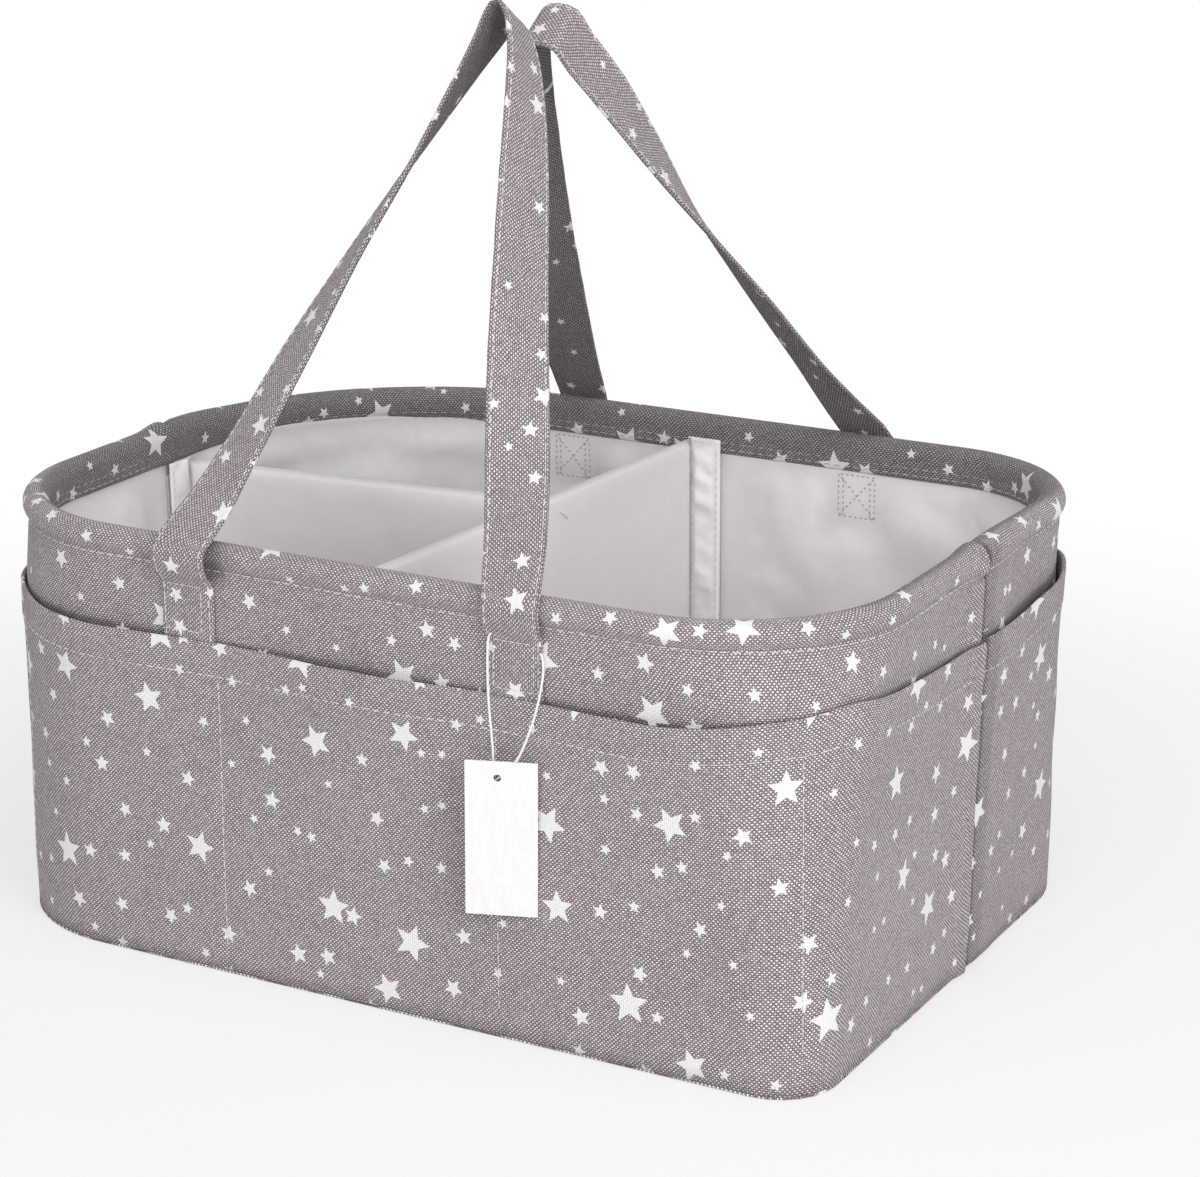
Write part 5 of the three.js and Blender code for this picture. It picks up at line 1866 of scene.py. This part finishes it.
class CADDY_OT_kept(bpy.types.Operator):
    """Gives the CAD pieces that keep their shape their finishes"""

    bl_idname = "caddy.kept_pieces"
    bl_label = "Boards, tapes and card"

    def execute(self, context):
        for name, node in frame["nodes"].items():
            for finish_name, marks in KEPT.items():
                if any(mark in name for mark in marks):
                    for slot in node.material_slots:
                        slot.material = materials()[finish_name]
                    for polygon in node.data.polygons:
                        polygon.use_smooth = False
        return {"FINISHED"}


# --- Stage ---
CAMERA_PLACE = (0.69913, -1.24541, 0.5815)
CAMERA_AZIMUTH, CAMERA_ELEVATION = 29.302, 19.027
CAMERA_LENS, CAMERA_SHIFT = 99.2, (0.0509, 0.0918)
# Each lamp's place and size in metres.
LAMPS = {"key": ((0.5, -1.9, 1.15), 1.6), "top": ((0.35, -0.35, 2.1), 1.8), "fill": ((1.7, -1.1, 1.0), 1.2)}
LAMP_AIM = (0, 0, 0.15)
FLOOR_REACH, FLOOR_DROP = 6.0, 0.0002
# The floor's fade to white: its start and end in metres, and how white it is there.
FLOOR_FADE = (0.28, 0.75, 0.62, 1.0)


def area_lamp(name, place, size, power):
    """A round lamp that looks at the caddy."""
    lamp = bpy.data.lights.new(name, "AREA")
    lamp.shape = "DISK"
    lamp.size = size
    lamp.energy = power
    thing = bpy.data.objects.new(name, lamp)
    thing.location = place
    thing.rotation_euler = (Vector(LAMP_AIM) - Vector(place)).to_track_quat("-Z", "Y").to_euler()
    bpy.context.collection.objects.link(thing)


def set_camera(scene):
    """The camera, as fitted to the photograph."""
    camera = bpy.data.cameras.new("camera")
    camera.lens = CAMERA_LENS
    camera.sensor_width = 36
    camera.shift_x, camera.shift_y = CAMERA_SHIFT
    camera.clip_end = 50
    stand = bpy.data.objects.new("camera", camera)
    stand.location = CAMERA_PLACE
    stand.rotation_euler = (math.radians(90 - CAMERA_ELEVATION), 0, math.radians(CAMERA_AZIMUTH))
    scene.collection.objects.link(stand)
    scene.camera = stand
    scene.view_settings.view_transform = "Standard"


def set_world(scene):
    """Even light from all round, with a white background where the camera sees it."""
    world = bpy.data.worlds.new("studio")
    world.use_nodes = True
    scene.world = world
    n = Nodes(world.node_tree)
    world.node_tree.nodes.clear()
    lights = []
    for strength in (scene.caddy_stage.sky, 1.0):
        light = n.add("ShaderNodeBackground")
        set_inputs(light, {"Color": (1, 1, 1, 1), "Strength": strength})
        lights.append(light.outputs[0])
    n.feed(n.add("ShaderNodeOutputWorld").inputs[0], n.blend(shown_white(n), *lights))


def set_floor(scene):
    """A pale floor that takes shadows near the caddy and fades to the white background."""
    mesh = bpy.data.meshes.new("floor")
    corners = [(x * FLOOR_REACH, y * FLOOR_REACH, 0) for x, y in ((-1, -1), (1, -1), (1, 1), (-1, 1))]
    mesh.from_pydata(corners, [], [(0, 1, 2, 3)])
    floor = bpy.data.objects.new("floor", mesh)
    floor.location.z = -FLOOR_DROP
    scene.collection.objects.link(floor)
    material, n, shader = new_material("Studio floor")
    set_inputs(shader, {"Base Color": (0.9, 0.9, 0.9, 1), "Roughness": 0.9, "Specular IOR Level": 0.1})
    glow = n.add("ShaderNodeEmission")
    set_inputs(glow, {"Color": (1, 1, 1, 1)})
    away = n.add("ShaderNodeVectorMath", operation="LENGTH")
    n.feed(away.inputs[0], n.place())
    fade = n.range(away.outputs["Value"], *FLOOR_FADE, "SMOOTHSTEP")
    white = n.times(fade, shown_white(n))
    out = material.node_tree.nodes["Material Output"]
    n.feed(out.inputs["Surface"], n.blend(white, shader.outputs[0], glow.outputs[0]))
    mesh.materials.append(material)


def shown_white(n):
    """1 for the rays that see the background, straight or in a gloss."""
    path = n.add("ShaderNodeLightPath").outputs
    seen = n.math("MAXIMUM", path["Is Camera Ray"], path["Is Glossy Ray"])
    return n.math("MAXIMUM", seen, path["Is Transmission Ray"])


class CADDY_OT_stage(bpy.types.Operator):
    """Sets the camera, the floor and the soft studio light"""

    bl_idname = "caddy.stage"
    bl_label = "Stage"

    def execute(self, context):
        scene = context.scene
        set_camera(scene)
        for name, (place, size) in LAMPS.items():
            area_lamp(f"{name}_lamp", place, size, getattr(scene.caddy_stage, name))
        set_world(scene)
        set_floor(scene)
        return {"FINISHED"}


# --- Panel and registration ---
OPERATORS = (
    CADDY_OT_stage,
    CADDY_OT_tag,
    CADDY_OT_walls,
    CADDY_OT_pockets,
    CADDY_OT_straps,
    CADDY_OT_lining,
    CADDY_OT_dividers,
    CADDY_OT_kept,
)


class CADDY_PT_panel(bpy.types.Panel):
    """Lists the caddy's settings and the steps that build it"""

    bl_label = "Diaper Caddy"
    bl_idname = "CADDY_PT_panel"
    bl_space_type = "VIEW_3D"
    bl_region_type = "UI"
    bl_category = "Caddy"

    def draw(self, context):
        layout = self.layout
        for group in (context.scene.caddy_shape, context.scene.caddy_finish, context.scene.caddy_stage):
            box = layout.box()
            for key in group.__annotations__:
                box.prop(group, key)
        for operator in OPERATORS:
            layout.operator(operator.bl_idname)


GROUPS = {"caddy_shape": CaddyShape, "caddy_finish": CaddyFinish, "caddy_stage": CaddyStage}


def register():
    """Adds the add-on's classes and settings to Blender."""
    for cls in (*GROUPS.values(), *OPERATORS, CADDY_PT_panel):
        bpy.utils.register_class(cls)
    for name, group in GROUPS.items():
        setattr(bpy.types.Scene, name, PointerProperty(type=group))


def unregister():
    """Takes them away again."""
    for name in GROUPS:
        delattr(bpy.types.Scene, name)
    for cls in (CADDY_PT_panel, *reversed(OPERATORS), *GROUPS.values()):
        bpy.utils.unregister_class(cls)


def main():
    """Builds the whole caddy with the add-on's own operators."""
    register()
    for operator in OPERATORS:
        group, name = operator.bl_idname.split(".")
        getattr(getattr(bpy.ops, group), name)()


if __name__ == "__main__":
    main()
